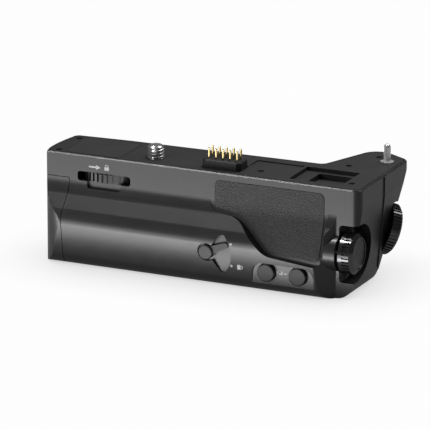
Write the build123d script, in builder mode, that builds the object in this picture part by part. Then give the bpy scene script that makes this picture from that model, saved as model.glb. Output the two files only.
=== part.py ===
"""Camera battery grip: housing, battery bay with door, camera screw drive, dials, lever and buttons.

Millimetres. The origin is on the camera screw's axis, on the face that the camera rests on.
+X runs along the grip to the hand-grip end, +Y points away from the operator, +Z points to the camera.
"""

import math
import os

from build123d import *

os.makedirs("parts", exist_ok=True)

# Housing, measured from the camera screw's axis and the seating face
left_reach = 42.7
right_reach = 88.4
face_reach = 10.1
back_reach = 17.9
grip_reach = 41.9
body_height = 42.7
wall = 2.0
overrun = 5.0
skin_gap = 0.3
fit_gap = 0.05
rim_chamfer = 0.45
parting_groove_width = 0.8
parting_groove_depth = 0.45

# Operator side of the bar: a flat band over a bulge
band_height = 13.2
band_radius = 8.0
crest_reach = 18.3
crest_drop = 22.8
crest_radius = 8.0
crest_clear = 0.3
toe_reach = 15.4
toe_radius = 5.5
heel_radius = 6.0

# Plan outline
end_draw = 0.5
end_bow_y = 1.5
end_bow_radius = 60.0
front_corner_radius = 14.8
back_corner_draw = 2.1
back_corner_reach = 14.3
back_corner_radius = 2.6
back_bend_x = 18.0
back_bend_reach = 15.9
bulge_end = 71.5
slope_run = 7.4
slope_top_radius = 1.5
slope_foot_radius = 1.0
end_front_radius = 3.2
end_back_radius = 4.0
nose_side_reach = 36.2
nose_meet_x = 72.2
nose_meet_rise = 3.6
nose_radius = 7.0
grip_root_x = 61.4
grip_root_radius = 3.0
grip_sole_radius = 10.0

# End view of the housing
left_end_clear = 0.6
left_sole_radius = 4.6
draft_drop = 8.0
draft_run = 3.0
right_sole_radius = 7.0

# Top plate and what is let into it
rim = 1.0
plate_gap = 0.1
deck_gap = 0.25
plate_thickness = 2.2
label_x = (-34.5, -11.6)
label_y = (-8.0, 12.0)
label_thickness = 0.4
label_depth = 0.3
pocket_x = (57.5, 79.0)
pocket_y = (-5.5, 12.0)
pocket_depth = 1.4
well_x = (63.5, 77.5)
well_y = (-3.0, 9.5)
well_depth = 3.4
floor_thickness = 1.0
recess_x = (37.0, 56.5)
recess_y = (4.0, 12.0)
recess_depth = 0.4

# Camera screw and its thumbwheel
screw_radius = 3.175
screw_length = 4.7
screw_tip = 0.5
collar_radius = 3.45
gear_module = 0.8
gear_pressure = 20.0
wheel_teeth = 24
screw_teeth = 19
gear_thickness = 2.4
gear_top = 2.5
tooth_play = 0.1
wheel_radius = 12.2
wheel_thickness = 3.4
wheel_y = 1.3
wheel_grooves = 36
wheel_groove_depth = 0.7
slot_x = (-28.2, -6.0)
slot_z = (-10.1, -6.3)
scoop_x = (-24.2, -10.2)
scoop_drop = 12.7
scoop_depth = 1.2
axle_radius = 1.5
bracket_thickness = 1.2
bracket_x = (-28.8, 13.0)
bracket_y = (-5.4, 11.9)
bracket_drop = 11.2
bracket_posts = ((-27.5, 10.6), (-6.5, 10.6), (11.0, 1.5))
post_radius = 1.2
shank_radius = 2.0
hub_radius = 4.0

# Battery bay and its door
seam_x = 31.6
seam_drop = 9.3
seam_gap = 0.25
bay_y = (-9.7, 10.0)
bay_z = (-38.0, -14.6)
bay_depth = 52.0
bay_wall = 1.4
bay_cut = 4.6
flange_thickness = 1.6
hinge_y = 12.5
hinge_radius = 1.7
hinge_pin_radius = 0.6
hinge_relief = 3.9
hinge_play = 0.2
knuckle_length = 5.0
knuckle_inset = 3.0
door_wall = 1.8
latch_y = (-4.5, 1.5)
latch_z = (-27.0, -17.0)
latch_travel = 3.0
latch_thickness = 0.9
latch_sink = 0.35
latch_corner = 1.1
latch_grooves = 4
latch_groove_radius = 0.3
latch_groove_margin = 0.5
contact_blade = (3.0, 0.6, 8.0)
contact_pitch = 3.4
contact_count = 5
catch_size = (5.0, 1.2, 6.0)
catch_travel = 1.0
catch_z = -27.0
carrier_depth = 1.5
leaf_thickness = 0.4
leaf_width = 6.0
leaf_z = -26.0
leaf_y = 5.0
leaf_foot = 2.5
leaf_reach = 4.0
liner_thickness = 1.4
liner_gap = 0.3
seal_width = 1.2
seal_thickness = 0.5
bolt_width = 2.4
bolt_thickness = 1.0
bolt_clear = 1.4

# Connector
connector_x = (21.4, 37.3)
connector_y = (-5.5, 3.0)
connector_rise = 3.3
connector_chamfer = 1.5
pin_rise = 7.2
pin_radius = 0.45
pin_pitch_x = 2.9
pin_pitch_y = 3.2
pin_columns = 5

# Boards
board_x = (15.0, 78.5)
board_y = (-5.6, 11.6)
board_drop = 8.0
board_thickness = 1.2
side_board_x = (26.0, 71.0)
side_board_z = (-39.0, -25.0)
side_board_y = -10.2
side_board_thickness = 1.0
side_posts = ((44.5, -28.0, 16.0), (44.5, -37.0, 15.2), (60.0, -37.2, 15.2), (69.5, -28.0, 13.0))
side_post_radius = 1.5
board_posts = ((17.5, -3.4), (17.5, 9.4), (60.0, 10.0), (76.3, -3.6))

# Thumb rest: a rubber pad on a ramp cut into the bulge
rest_left = 29.1
rest_right = 74.1
rest_top = 2.7
rest_shoulder_drop = 13.2
rest_bottom = 28.6
rest_thickness = 1.2
rest_proud = 0.25
rest_small_radius = 2.2
rest_neck_x = 40.6
rest_neck_drop = 14.6
rest_neck_radius = 12.0
rest_belly_x = 53.4
rest_belly_radius = 7.0
ramp_start_drop = 12.5
ramp_end_drop = 27.5
ramp_run = 5.0
ramp_radius = 12.0
ditch = 1.4

# Rubber skin on the hand grip
skin_x = (58.0, 77.0)
skin_z = (-36.0, -6.0)
skin_radius = 3.0
skin_depth = 1.2
skin_root = 3.0
skin_margin = 3.0

# Lock lever
lever_x = 28.9
lever_z = -29.1
lever_knob_radius = 2.8
lever_arm = 8.6
lever_tip_radius = 1.0
lever_rise_angle = 23.0
lever_apex_radius = 3.6
lever_fan_reach = 10.2
lever_fan_waist = 6.3
lever_fan_half = 8.2
lever_fan_radius = 1.6
lever_floor_reach = 15.7
lever_arm_reach = 17.4
lever_knob_reach = 18.4
lever_shaft_radius = 1.4
lever_shaft_length = 3.4
lever_clip_radius = 2.6
lever_clip_thickness = 0.6

# Function buttons on their flat facet
facet_x = (47.4, 72.6)
facet_z = (-46.0, -30.6)
facet_reach = 15.9
facet_radius = 4.5
button_x = (53.4, 66.3)
button_z = -34.2
button_radius = 3.5
button_gap = 0.15
button_reach = 17.6
button_dome = 0.5
button_flange = 0.8
button_travel = 0.6
button_flange_radius = 4.2
button_flange_reach = 13.7
button_switch_reach = 12.2

# Rear dial, on an axis along X
dial_y = -7.4
dial_z = -25.2
dial_radius = 7.8
dial_thickness = 5.6
dial_face_x = 87.2
dial_face_radius = 6.2
dial_ring = 1.6
dial_knurl = 2.8
dial_grooves = 34
dial_groove_depth = 0.7
dial_recess_radius = 11.5
dial_recess_x = 80.1
dial_recess_round = 1.5
dial_boss_radius = 7.4
dial_boss_x = 73.6
dial_axle_radius = 1.5
dial_bush_radius = 2.6
dial_bush_length = 2.4
dial_boss_bore = 5.4
dial_cap_radius = 5.9
dial_cap_sink = 0.3
dial_cap_thickness = 0.5
encoder_radius = 3.0
encoder_length = 4.0

# Front dial around the shutter button, on a slanted axis
front_x = 86.4
front_y = 25.9
front_z = -25.0
front_yaw = 39.8
front_pitch = 19.3
front_radius = 9.9
front_thickness = 4.0
front_grooves = 44
front_groove_depth = 0.5
front_bevel = 0.8
front_recess_radius = 11.0
nose_pitch = 23.9
nose_sink = 2.2
front_gap = 0.4
collar_outer = 5.6
collar_inner = 4.6
shutter_radius = 4.45
shutter_proud = 0.6
shutter_travel = 0.8
shutter_stem_radius = 1.4
shutter_depth = 3.0
shutter_stem_reach = 10.5
collar_length = 9.0
front_encoder_radius = 6.2
front_encoder_length = 2.5
front_encoder_bore = 2.0
shutter_switch_radius = 4.0
shutter_switch_length = 2.3
switch_size = 5.0

# Locating pin, tripod bush and fasteners
locator_x = 81.9
locator_y = 30.9
locator_radius = 1.35
locator_height = 6.9
locator_flange_radius = 2.6
locator_flange = 0.6
locator_shank_radius = 1.8
bush_x = 30.4
bush_radius = 5.0
bush_bore_radius = 2.6
bush_length = 7.0
bush_flange_radius = 6.5
bush_flange = 1.2
small_head_radius = 1.3
small_head = 0.7
small_shank_radius = 0.7
small_shank = 3.5
top_screw_places = ((-37.6, -6.6), (-37.2, 10.0), (44.1, -1.1), (71.3, 19.2), (81.6, -1.8), (77.2, 34.6))
base_screw_places = ((40.0, -6.0), (66.0, -6.0), (40.0, 8.0), (68.0, 21.0))

# Places that follow from the sizes above
gear_centres = gear_module * (wheel_teeth + screw_teeth) / 2
wheel_x = -math.sqrt(gear_centres**2 - wheel_y**2)
seam_plane = -seam_x
parting_left = back_corner_reach - back_corner_draw - wall
parting_right = back_reach - back_corner_draw - wall + skin_gap


def plan_sketch(inset=0, operator_reach=0):
    """The housing seen from above, drawn in by `inset`; a reach cuts it off on the operator's side."""
    slope_x = bulge_end + slope_run
    points = [
        (-left_reach + end_draw, -crest_reach - crest_clear),
        (bulge_end, -crest_reach - crest_clear),
        (slope_x, -face_reach),
        (right_reach, -face_reach),
        (right_reach, nose_side_reach),
        (nose_meet_x, grip_reach + nose_meet_rise),
        (grip_root_x, back_reach),
        (-back_bend_x, back_bend_reach),
        (-left_reach + back_corner_draw, back_corner_reach),
        (-left_reach, end_bow_y),
    ]
    radii = [
        front_corner_radius,
        slope_top_radius,
        slope_foot_radius,
        end_front_radius,
        end_back_radius,
        nose_radius,
        grip_root_radius,
        end_bow_radius,
        back_corner_radius,
        end_bow_radius,
    ]
    length = left_reach + right_reach + overrun
    with BuildSketch() as plan:
        with BuildLine():
            FilletPolyline(*points, radius=radii, close=True)
        make_face()
        if operator_reach:
            with Locations(((right_reach - left_reach) / 2, -operator_reach)):
                Rectangle(
                    length, 2 * grip_reach + length,
                    align=(Align.CENTER, Align.MIN), mode=Mode.INTERSECT,
                )
        if inset:
            offset(amount=-inset)
    return plan.sketch


def bar_profile(inset=0):
    """The bar's cross-section: flat band, bulge, toe and heel."""
    points = [
        (-face_reach, overrun),
        (-face_reach, -band_height),
        (-crest_reach, -crest_drop),
        (-toe_reach, -body_height),
        (back_reach + crest_clear, -body_height),
        (back_reach + crest_clear, overrun),
    ]
    with BuildSketch(Plane.YZ) as profile:
        with BuildLine():
            FilletPolyline(
                *points, radius=[0, band_radius, crest_radius, toe_radius, heel_radius, 0], close=True
            )
        make_face()
        if inset:
            offset(amount=-inset)
    return profile.sketch


def grip_profile(inset=0):
    """The hand grip's cross-section behind the bar."""
    points = [
        (0, overrun),
        (0, -body_height),
        (grip_reach + crest_clear, -body_height),
        (grip_reach + crest_clear, overrun),
    ]
    with BuildSketch(Plane.YZ) as profile:
        with BuildLine():
            FilletPolyline(*points, radius=[0, 0, grip_sole_radius, 0], close=True)
        make_face()
        if inset:
            offset(amount=-inset)
    return profile.sketch


def side_profile(inset=0):
    """The housing seen from the operator's side: drafted right end, rounded lower corners."""
    lead = draft_run * (overrun + draft_drop) / (body_height - draft_drop)
    left = -left_reach - left_end_clear
    points = [
        (left, overrun),
        (left, -body_height),
        (right_reach - draft_run, -body_height),
        (right_reach + lead, overrun),
    ]
    with BuildSketch(Plane.XZ) as profile:
        with BuildLine():
            FilletPolyline(*points, radius=[0, left_sole_radius, right_sole_radius, 0], close=True)
        make_face()
        if inset:
            offset(amount=-inset)
    return profile.sketch


def housing_form(inset=0, top=0):
    """The whole housing as a solid, every wall drawn in by `inset`, up to the height `top`."""
    reach = left_reach + right_reach
    low = -body_height + inset
    forms = []
    for section in (bar_profile(inset), grip_profile(inset)):
        with BuildPart() as piece:
            with BuildSketch(Plane.XY.offset(low)):
                add(plan_sketch(inset))
            extrude(amount=top - low)
            extrude(to_extrude=section, amount=reach, both=True, mode=Mode.INTERSECT)
            extrude(to_extrude=side_profile(inset), amount=reach, both=True, mode=Mode.INTERSECT)
        forms.append(piece.part)
    with BuildPart() as form:
        add(forms[0])
        add(forms[1])
        split(bisect_by=along(nose_face, -inset), keep=Keep.BOTTOM)
    return form.part


def block(x, y, z):
    """A plain block between two limits along each axis."""
    with BuildPart() as piece:
        with Locations(((x[0] + x[1]) / 2, (y[0] + y[1]) / 2, (z[0] + z[1]) / 2)):
            Box(x[1] - x[0], y[1] - y[0], z[1] - z[0])
    return piece.part


def rod(plane, radius, length, bore=0):
    """A round bar or tube from a plane along its normal."""
    with BuildPart() as piece:
        with BuildSketch(plane):
            Circle(radius)
            if bore:
                Circle(bore, mode=Mode.SUBTRACT)
        extrude(amount=length)
    return piece.part


def rest_outline(grow=0):
    """The thumb rest seen along Y, an S-curve on its lower left side."""
    points = [
        (rest_left, -rest_top),
        (rest_right, -rest_top),
        (rest_right, -rest_bottom),
        (rest_belly_x, -rest_bottom + rest_small_radius),
        (rest_neck_x, -rest_neck_drop),
        (rest_left, -rest_shoulder_drop),
    ]
    radii = [
        rest_small_radius,
        rest_small_radius,
        rest_small_radius,
        rest_belly_radius,
        rest_neck_radius,
        rest_small_radius,
    ]
    with BuildSketch(Plane.XZ) as outline:
        with BuildLine():
            FilletPolyline(*points, radius=radii, close=True)
        make_face()
        if grow:
            offset(amount=grow)
    return outline.sketch


def ramp_profile(sink):
    """All that lies in front of the thumb rest's ramp, when the ramp is sunk by `sink`."""
    near = -face_reach + sink
    far = -face_reach - ramp_run + sink
    front = -crest_reach - 2 * overrun
    points = [
        (front, overrun),
        (near, overrun),
        (near, -ramp_start_drop),
        (far, -ramp_end_drop),
        (far, -body_height - overrun),
        (front, -body_height - overrun),
    ]
    with BuildSketch(Plane.YZ) as profile:
        with BuildLine():
            FilletPolyline(*points, radius=[0, 0, ramp_radius, ramp_radius, 0, 0], close=True)
        make_face()
    return profile.sketch


def rest_space(sink, grow=0):
    """The space in front of the ramp inside the thumb rest's outline."""
    with BuildPart() as piece:
        extrude(to_extrude=rest_outline(grow), amount=crest_reach + 2 * overrun)
        extrude(to_extrude=ramp_profile(sink), amount=right_reach, mode=Mode.INTERSECT)
    return piece.part


def fan_sketch(plane, grow=0):
    """The lock lever's recess: a round apex that opens to a curved side."""
    reach = lever_fan_reach + grow
    half = lever_fan_half + grow
    with BuildSketch(plane) as fan:
        with BuildLine():
            Polyline((0, 0), (lever_fan_waist, half), (lever_fan_waist, -half), close=True)
        make_face()
        with BuildLine():
            ThreePointArc((lever_fan_waist, half), (reach, 0), (lever_fan_waist, -half))
            Line((lever_fan_waist, -half), (lever_fan_waist, half))
        make_face()
        fillet(fan.vertices().group_by(Axis.X)[-1], lever_fan_radius)
        Circle(lever_apex_radius + grow)
    return fan.sketch


def along(plane, shift):
    """The same plane moved along its normal."""
    return plane.offset(shift)


def facing(reach):
    """A plane at a reach from the screw's axis, facing the operator."""
    return Plane(origin=(0, -reach, 0), x_dir=(1, 0, 0), z_dir=(0, -1, 0))


def nose_plane(pitch):
    """A plane through the front dial's centre, facing out of the nose and down by `pitch` degrees."""
    yaw = math.radians(front_yaw)
    lean = math.radians(pitch)
    return Plane(
        origin=(front_x, front_y, front_z),
        z_dir=(math.cos(lean) * math.cos(yaw), math.cos(lean) * math.sin(yaw), -math.sin(lean)),
        x_dir=(-math.sin(yaw), math.cos(yaw), 0),
    )


# Planes that pieces share
slant = nose_plane(front_pitch)
nose_face = along(nose_plane(nose_pitch), -nose_sink)
dial_plane = Plane(origin=(dial_face_x, dial_y, dial_z), x_dir=(0, 1, 0), z_dir=(1, 0, 0))
lever_plane = Plane(origin=(lever_x, -lever_floor_reach, lever_z), x_dir=(1, 0, 0), z_dir=(0, -1, 0))
parting = Plane(
    origin=(-left_reach, parting_left, 0),
    x_dir=(left_reach + right_reach, parting_right - parting_left, 0),
    z_dir=(parting_left - parting_right, left_reach + right_reach, 0),
)


def gear_sketch(teeth, phase, bore):
    """A spur gear with involute flanks, one tooth centred at `phase` radians."""
    pressure = math.radians(gear_pressure)
    pitch = gear_module * teeth / 2
    base = pitch * math.cos(pressure)
    tip = pitch + gear_module
    root = pitch - gear_module - tooth_play
    spread = math.pi / (2 * teeth) + math.tan(pressure) - pressure - tooth_play / pitch

    def half_angle(radius):
        lean = math.acos(min(1, base / max(radius, base)))
        return spread - (math.tan(lean) - lean)

    points = []
    for tooth in range(teeth):
        centre = phase + 2 * math.pi * tooth / teeth
        flank = [(root, half_angle(base))]
        flank.extend((radius, half_angle(radius)) for radius in (base, pitch, tip))
        for radius, half in flank:
            points.append((radius * math.cos(centre - half), radius * math.sin(centre - half)))
        for radius, half in reversed(flank):
            points.append((radius * math.cos(centre + half), radius * math.sin(centre + half)))
    with BuildSketch() as gear:
        with BuildLine():
            Polyline(*points, close=True)
        make_face()
        Circle(bore, mode=Mode.SUBTRACT)
    return gear.sketch


def knurled_ring(plane, radius, length, bore, grooves, depth):
    """A grooved ring from a plane along its normal."""
    width = 2 * math.pi * radius / grooves / 2
    with BuildPart() as piece:
        with BuildSketch(plane):
            Circle(radius)
            with PolarLocations(radius, grooves):
                Rectangle(2 * depth, width, mode=Mode.SUBTRACT)
            if bore:
                Circle(bore, mode=Mode.SUBTRACT)
        extrude(amount=length)
    return piece.part


def button_body(plane, radius, length, dome):
    """A round button from a plane along its normal, with a rounded rim."""
    with BuildPart() as piece:
        with BuildSketch(plane):
            Circle(radius)
        extrude(amount=length)
        rim_edge = piece.edges().sort_by(lambda e: (e.center() - plane.origin).dot(plane.z_dir))[-1]
        fillet(rim_edge, dome)
    return piece.part


def hinge_space():
    """The room that the door's knuckles and back corner sweep about the hinge."""
    axis = Plane(origin=(seam_plane, hinge_y, -body_height - overrun), z_dir=(0, 0, 1))
    tall = body_height + overrun - seam_drop
    with BuildPart() as space:
        with BuildSketch(axis):
            Circle(hinge_relief)
            with Locations((0, -hinge_play)):
                Rectangle(
                    2 * hinge_relief, 2 * hinge_relief,
                    align=(Align.CENTER, Align.MIN), mode=Mode.INTERSECT,
                )
            Circle(hinge_radius + hinge_play)
        extrude(amount=tall)
    return space.part


def middle_band():
    """Heights of the hinge's middle knuckle, which belongs to the bay."""
    low = -body_height + knuckle_inset + knuckle_length + hinge_play
    high = -seam_drop - knuckle_inset - knuckle_length - hinge_play
    return low, high


def make_housing():
    """The outer skin, hollowed, with every recess that shows, before it is split into its shells."""
    seat = rest_thickness - rest_proud
    far = left_reach + right_reach
    deep = 2 * grip_reach
    dial_back = Plane(origin=(dial_recess_x, dial_y, dial_z), x_dir=(0, 1, 0), z_dir=(1, 0, 0))
    boss_plane = Plane(origin=(dial_boss_x, dial_y, dial_z), x_dir=(0, 1, 0), z_dir=(1, 0, 0))
    recess_floor = along(slant, -front_thickness - front_gap)
    with BuildPart() as dial_space:
        add(rod(dial_back, dial_recess_radius, far))
        fillet(dial_space.edges().group_by(Axis.X)[0], dial_recess_round)
    with BuildPart() as groove:
        add(housing_form())
        add(housing_form(parting_groove_depth), mode=Mode.SUBTRACT)
        with BuildSketch(parting):
            Rectangle(2 * far, 2 * body_height + overrun)
        extrude(amount=parting_groove_width / 2, both=True, mode=Mode.INTERSECT)
    with BuildPart() as cavity:
        add(housing_form(wall))
        add(rod(along(boss_plane, wall / 2), dial_boss_bore, dial_recess_x - wall - dial_boss_x - wall / 2))
        add(rest_space(seat + wall, ditch + wall), mode=Mode.SUBTRACT)
        add(rod(along(dial_back, -wall), dial_recess_radius + wall, far), mode=Mode.SUBTRACT)
        add(rod(along(recess_floor, -wall), front_recess_radius + wall, far), mode=Mode.SUBTRACT)
        add(
            block((-far, seam_plane), (-deep, deep), (-body_height - overrun, -seam_drop + wall)),
            mode=Mode.SUBTRACT,
        )
        with BuildSketch(along(lever_plane, -wall)):
            add(fan_sketch(Plane.XY, wall))
        extrude(amount=overrun, mode=Mode.SUBTRACT)
    with BuildPart() as housing:
        add(housing_form(0, -rim_chamfer))
        with BuildSketch(Plane.XY.offset(-rim_chamfer)):
            add(plan_sketch(0, face_reach))
        with BuildSketch():
            add(plan_sketch(rim_chamfer, face_reach))
        loft(ruled=True)
        add(rod(boss_plane, dial_boss_radius, dial_recess_x - dial_boss_x))
        add(cavity.part, mode=Mode.SUBTRACT)
        with BuildSketch(Plane.XY.offset(-plate_thickness)):
            add(plan_sketch(rim, face_reach))
        extrude(amount=plate_thickness, mode=Mode.SUBTRACT)
        add(rest_space(0, ditch), mode=Mode.SUBTRACT)
        add(rest_space(seat), mode=Mode.SUBTRACT)
        add(groove.part, mode=Mode.SUBTRACT)
        add(dial_space.part, mode=Mode.SUBTRACT)
        add(rod(along(dial_back, -2 * wall), dial_bush_radius, far), mode=Mode.SUBTRACT)
        add(rod(recess_floor, front_recess_radius, far), mode=Mode.SUBTRACT)
        add(rod(along(slant, -collar_length), collar_outer, far), mode=Mode.SUBTRACT)
        with BuildSketch(lever_plane):
            add(fan_sketch(Plane.XY))
        extrude(amount=overrun, mode=Mode.SUBTRACT)
        add(rod(along(lever_plane, -overrun), lever_shaft_radius + fit_gap, 2 * overrun), mode=Mode.SUBTRACT)
        with BuildSketch(facing(facet_reach)):
            with Locations(((facet_x[0] + facet_x[1]) / 2, (facet_z[0] + facet_z[1]) / 2)):
                RectangleRounded(facet_x[1] - facet_x[0], facet_z[1] - facet_z[0], facet_radius)
        extrude(amount=overrun, mode=Mode.SUBTRACT)
        with BuildSketch(facing(button_flange_reach)):
            with Locations(*[(x, button_z) for x in button_x]):
                Circle(button_radius + button_gap)
        extrude(amount=overrun, mode=Mode.SUBTRACT)
        with BuildSketch(facing(button_flange_reach + fit_gap)):
            with Locations(*[(x, button_z) for x in button_x]):
                Circle(button_flange_radius + button_gap)
        extrude(amount=-overrun, mode=Mode.SUBTRACT)
        with BuildSketch(Plane.XY.offset(-gear_top - gear_thickness - skin_gap)):
            Circle(gear_module * (screw_teeth / 2 + 1) + skin_gap)
            with Locations((wheel_x, wheel_y)):
                Circle(gear_module * (wheel_teeth / 2 + 1) + skin_gap)
        extrude(amount=gear_thickness + 2 * skin_gap, mode=Mode.SUBTRACT)
        with BuildSketch(facing(face_reach - wall - skin_gap)):
            with Locations(((slot_x[0] + slot_x[1]) / 2, (slot_z[0] + slot_z[1]) / 2)):
                RectangleRounded(slot_x[1] - slot_x[0], slot_z[1] - slot_z[0], scoop_depth)
        extrude(amount=overrun, mode=Mode.SUBTRACT)
        scoop_z = (-scoop_drop, slot_z[1])
        with BuildSketch(facing(face_reach - scoop_depth)):
            with Locations(((scoop_x[0] + scoop_x[1]) / 2, (scoop_z[0] + scoop_z[1]) / 2)):
                RectangleRounded(scoop_x[1] - scoop_x[0], scoop_z[1] - scoop_z[0], scoop_depth)
        extrude(amount=overrun, mode=Mode.SUBTRACT)
        add(
            block((-far, seam_plane), (-deep, deep), (-body_height - overrun, -seam_drop)),
            mode=Mode.SUBTRACT,
        )
        add(hinge_space(), mode=Mode.SUBTRACT)
        with Locations((bush_x, 0, -body_height)):
            Cylinder(bush_radius, 2 * overrun, mode=Mode.SUBTRACT)
    return housing.part


def base_posts(places):
    """Bosses that stand on the housing's floor and take the base screws."""
    with BuildPart() as posts:
        with BuildSketch(Plane.XY.offset(-body_height + wall / 2)):
            with Locations(*places):
                Circle(small_head_radius + small_shank_radius)
        extrude(amount=small_shank + small_head)
    return posts.part


def screw_holes(places):
    """Counterbored holes for the base screws, as one solid to cut with."""
    with BuildPart() as holes:
        with BuildSketch(Plane.XY.offset(-body_height)):
            with Locations(*places):
                Circle(small_head_radius)
        extrude(amount=small_head + skin_gap)
        with BuildSketch(Plane.XY.offset(-body_height)):
            with Locations(*places):
                Circle(small_shank_radius)
        extrude(amount=small_shank + small_head)
    return holes.part


def grip_skin(depth):
    """The outer layer of the hand grip's nose inside a rounded window."""
    wide = skin_x[1] - skin_x[0]
    tall = skin_z[1] - skin_z[0]
    with BuildPart() as skin:
        add(housing_form())
        add(housing_form(depth), mode=Mode.SUBTRACT)
        with BuildSketch(Plane.XZ):
            with Locations(((skin_x[0] + skin_x[1]) / 2, (skin_z[0] + skin_z[1]) / 2)):
                RectangleRounded(wide, tall, skin_radius)
        extrude(amount=-2 * grip_reach, mode=Mode.INTERSECT)
        with Locations((0, back_reach + skin_root, 0)):
            Box(
                2 * (left_reach + right_reach), 2 * grip_reach, 2 * body_height + overrun,
                align=(Align.CENTER, Align.MIN, Align.CENTER), mode=Mode.INTERSECT,
            )
        split(bisect_by=along(nose_face, -skin_margin), keep=Keep.BOTTOM)
    return skin.part


def make_shells(housing):
    """The rear and front shells, either side of the parting plane."""
    rear_places = [place for place in base_screw_places if place[1] < parting_left]
    front_places = [place for place in base_screw_places if place[1] > parting_left]
    with BuildPart() as rear:
        add(housing)
        split(bisect_by=parting, keep=Keep.BOTTOM)
        add(base_posts(rear_places))
        add(screw_holes(rear_places), mode=Mode.SUBTRACT)
        for x, z, start in side_posts:
            with BuildSketch(Plane(origin=(x, -start, z), x_dir=(1, 0, 0), z_dir=(0, 1, 0))):
                Circle(side_post_radius)
            extrude(amount=start + side_board_y)
    with BuildPart() as front:
        add(housing)
        split(bisect_by=parting, keep=Keep.TOP)
        add(base_posts(front_places))
        add(screw_holes(front_places), mode=Mode.SUBTRACT)
        add(grip_skin(skin_depth), mode=Mode.SUBTRACT)
    return rear.part, front.part


def make_hand_grip_rubber():
    """The rubber skin on the nose of the hand grip."""
    return grip_skin(skin_depth)


def make_top_plate():
    """The seating plate with its pockets, bosses and holes."""
    well_floor = -well_depth - floor_thickness
    with BuildPart() as plate:
        with BuildSketch(Plane.XY.offset(-plate_thickness)):
            add(plan_sketch(rim + deck_gap, face_reach))
        extrude(amount=plate_thickness)
        add(
            block(
                (well_x[0] - floor_thickness, well_x[1] + floor_thickness),
                (well_y[0] - floor_thickness, well_y[1] + floor_thickness),
                (well_floor, -plate_thickness),
            )
        )
        with BuildSketch(Plane.XY.offset(-plate_thickness)):
            with Locations(*board_posts):
                Circle(post_radius)
        extrude(amount=plate_thickness - board_drop)
        with BuildSketch(Plane.XY.offset(-plate_thickness)):
            with Locations(*bracket_posts):
                Circle(post_radius)
        extrude(amount=plate_thickness - bracket_drop)
        add(block(label_x, label_y, (-label_depth, overrun)), mode=Mode.SUBTRACT)
        add(block(pocket_x, pocket_y, (-pocket_depth, overrun)), mode=Mode.SUBTRACT)
        add(block(well_x, well_y, (-well_depth, overrun)), mode=Mode.SUBTRACT)
        add(block(recess_x, recess_y, (-recess_depth, overrun)), mode=Mode.SUBTRACT)
        with Locations((0, 0, 0)):
            Cylinder(collar_radius + fit_gap, 2 * overrun, mode=Mode.SUBTRACT)
        add(block(
            (connector_x[0] - plate_gap, connector_x[1] + plate_gap),
            (connector_y[0] - plate_gap, connector_y[1] + plate_gap),
            (-overrun, overrun),
        ), mode=Mode.SUBTRACT)
        with Locations((locator_x, locator_y, 0)):
            Cylinder(locator_shank_radius, 2 * plate_thickness, mode=Mode.SUBTRACT)
            Cylinder(locator_flange_radius + fit_gap, 2 * locator_flange, mode=Mode.SUBTRACT)
        with BuildSketch(Plane.XY.offset(-small_head - skin_gap)):
            with Locations(*top_screw_places):
                Circle(small_head_radius)
        extrude(amount=overrun, mode=Mode.SUBTRACT)
        with BuildSketch(Plane.XY.offset(-plate_thickness)):
            with Locations(*top_screw_places):
                Circle(small_shank_radius)
        extrude(amount=plate_thickness, mode=Mode.SUBTRACT)
    return plate.part


def make_label_plate():
    """A bare plate let into the top."""
    return block(
        (label_x[0] + plate_gap, label_x[1] - plate_gap),
        (label_y[0] + plate_gap, label_y[1] - plate_gap),
        (-label_depth, label_thickness - label_depth),
    )


def make_thumb_rest():
    """The thumb rest's rubber, following the ramp."""
    with BuildPart() as rest:
        add(rest_space(rest_thickness - rest_proud, -plate_gap))
        add(rest_space(-rest_proud, overrun), mode=Mode.SUBTRACT)
    return rest.part


def make_top_screws():
    """The screws in the top plate."""
    with BuildPart() as screws:
        with BuildSketch(Plane.XY.offset(-small_head - skin_gap)):
            with Locations(*top_screw_places):
                Circle(small_head_radius)
        extrude(amount=small_head)
        with BuildSketch(Plane.XY.offset(-plate_thickness)):
            with Locations(*top_screw_places):
                Circle(small_shank_radius)
        extrude(amount=plate_thickness - small_head - skin_gap)
    return screws.part


def make_base_screws():
    """The screws in the base."""
    with BuildPart() as screws:
        with BuildSketch(Plane.XY.offset(-body_height + skin_gap)):
            with Locations(*base_screw_places):
                Circle(small_head_radius)
        extrude(amount=small_head)
        with BuildSketch(Plane.XY.offset(-body_height + skin_gap + small_head)):
            with Locations(*base_screw_places):
                Circle(small_shank_radius)
        extrude(amount=small_shank - skin_gap)
    return screws.part


def make_camera_screw():
    """The screw that pulls the grip to the camera."""
    foot = -bracket_drop - bracket_thickness
    with BuildPart() as screw:
        with BuildSketch(Plane.XY.offset(foot)):
            Circle(shank_radius)
        extrude(amount=-foot)
        with BuildSketch(Plane.XY.offset(-gear_top)):
            Circle(collar_radius)
        extrude(amount=gear_top)
        with BuildSketch():
            Circle(screw_radius)
        extrude(amount=screw_length)
        chamfer(screw.edges().group_by(Axis.Z)[-1], screw_tip)
    return screw.part


def make_screw_gear():
    """The gear pressed on the camera screw."""
    towards = math.atan2(wheel_y, wheel_x)
    with BuildPart() as gear:
        with BuildSketch(Plane.XY.offset(-gear_top - gear_thickness)):
            add(gear_sketch(screw_teeth, towards + math.pi / screw_teeth, shank_radius))
        extrude(amount=gear_thickness)
    return gear.part


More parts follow.
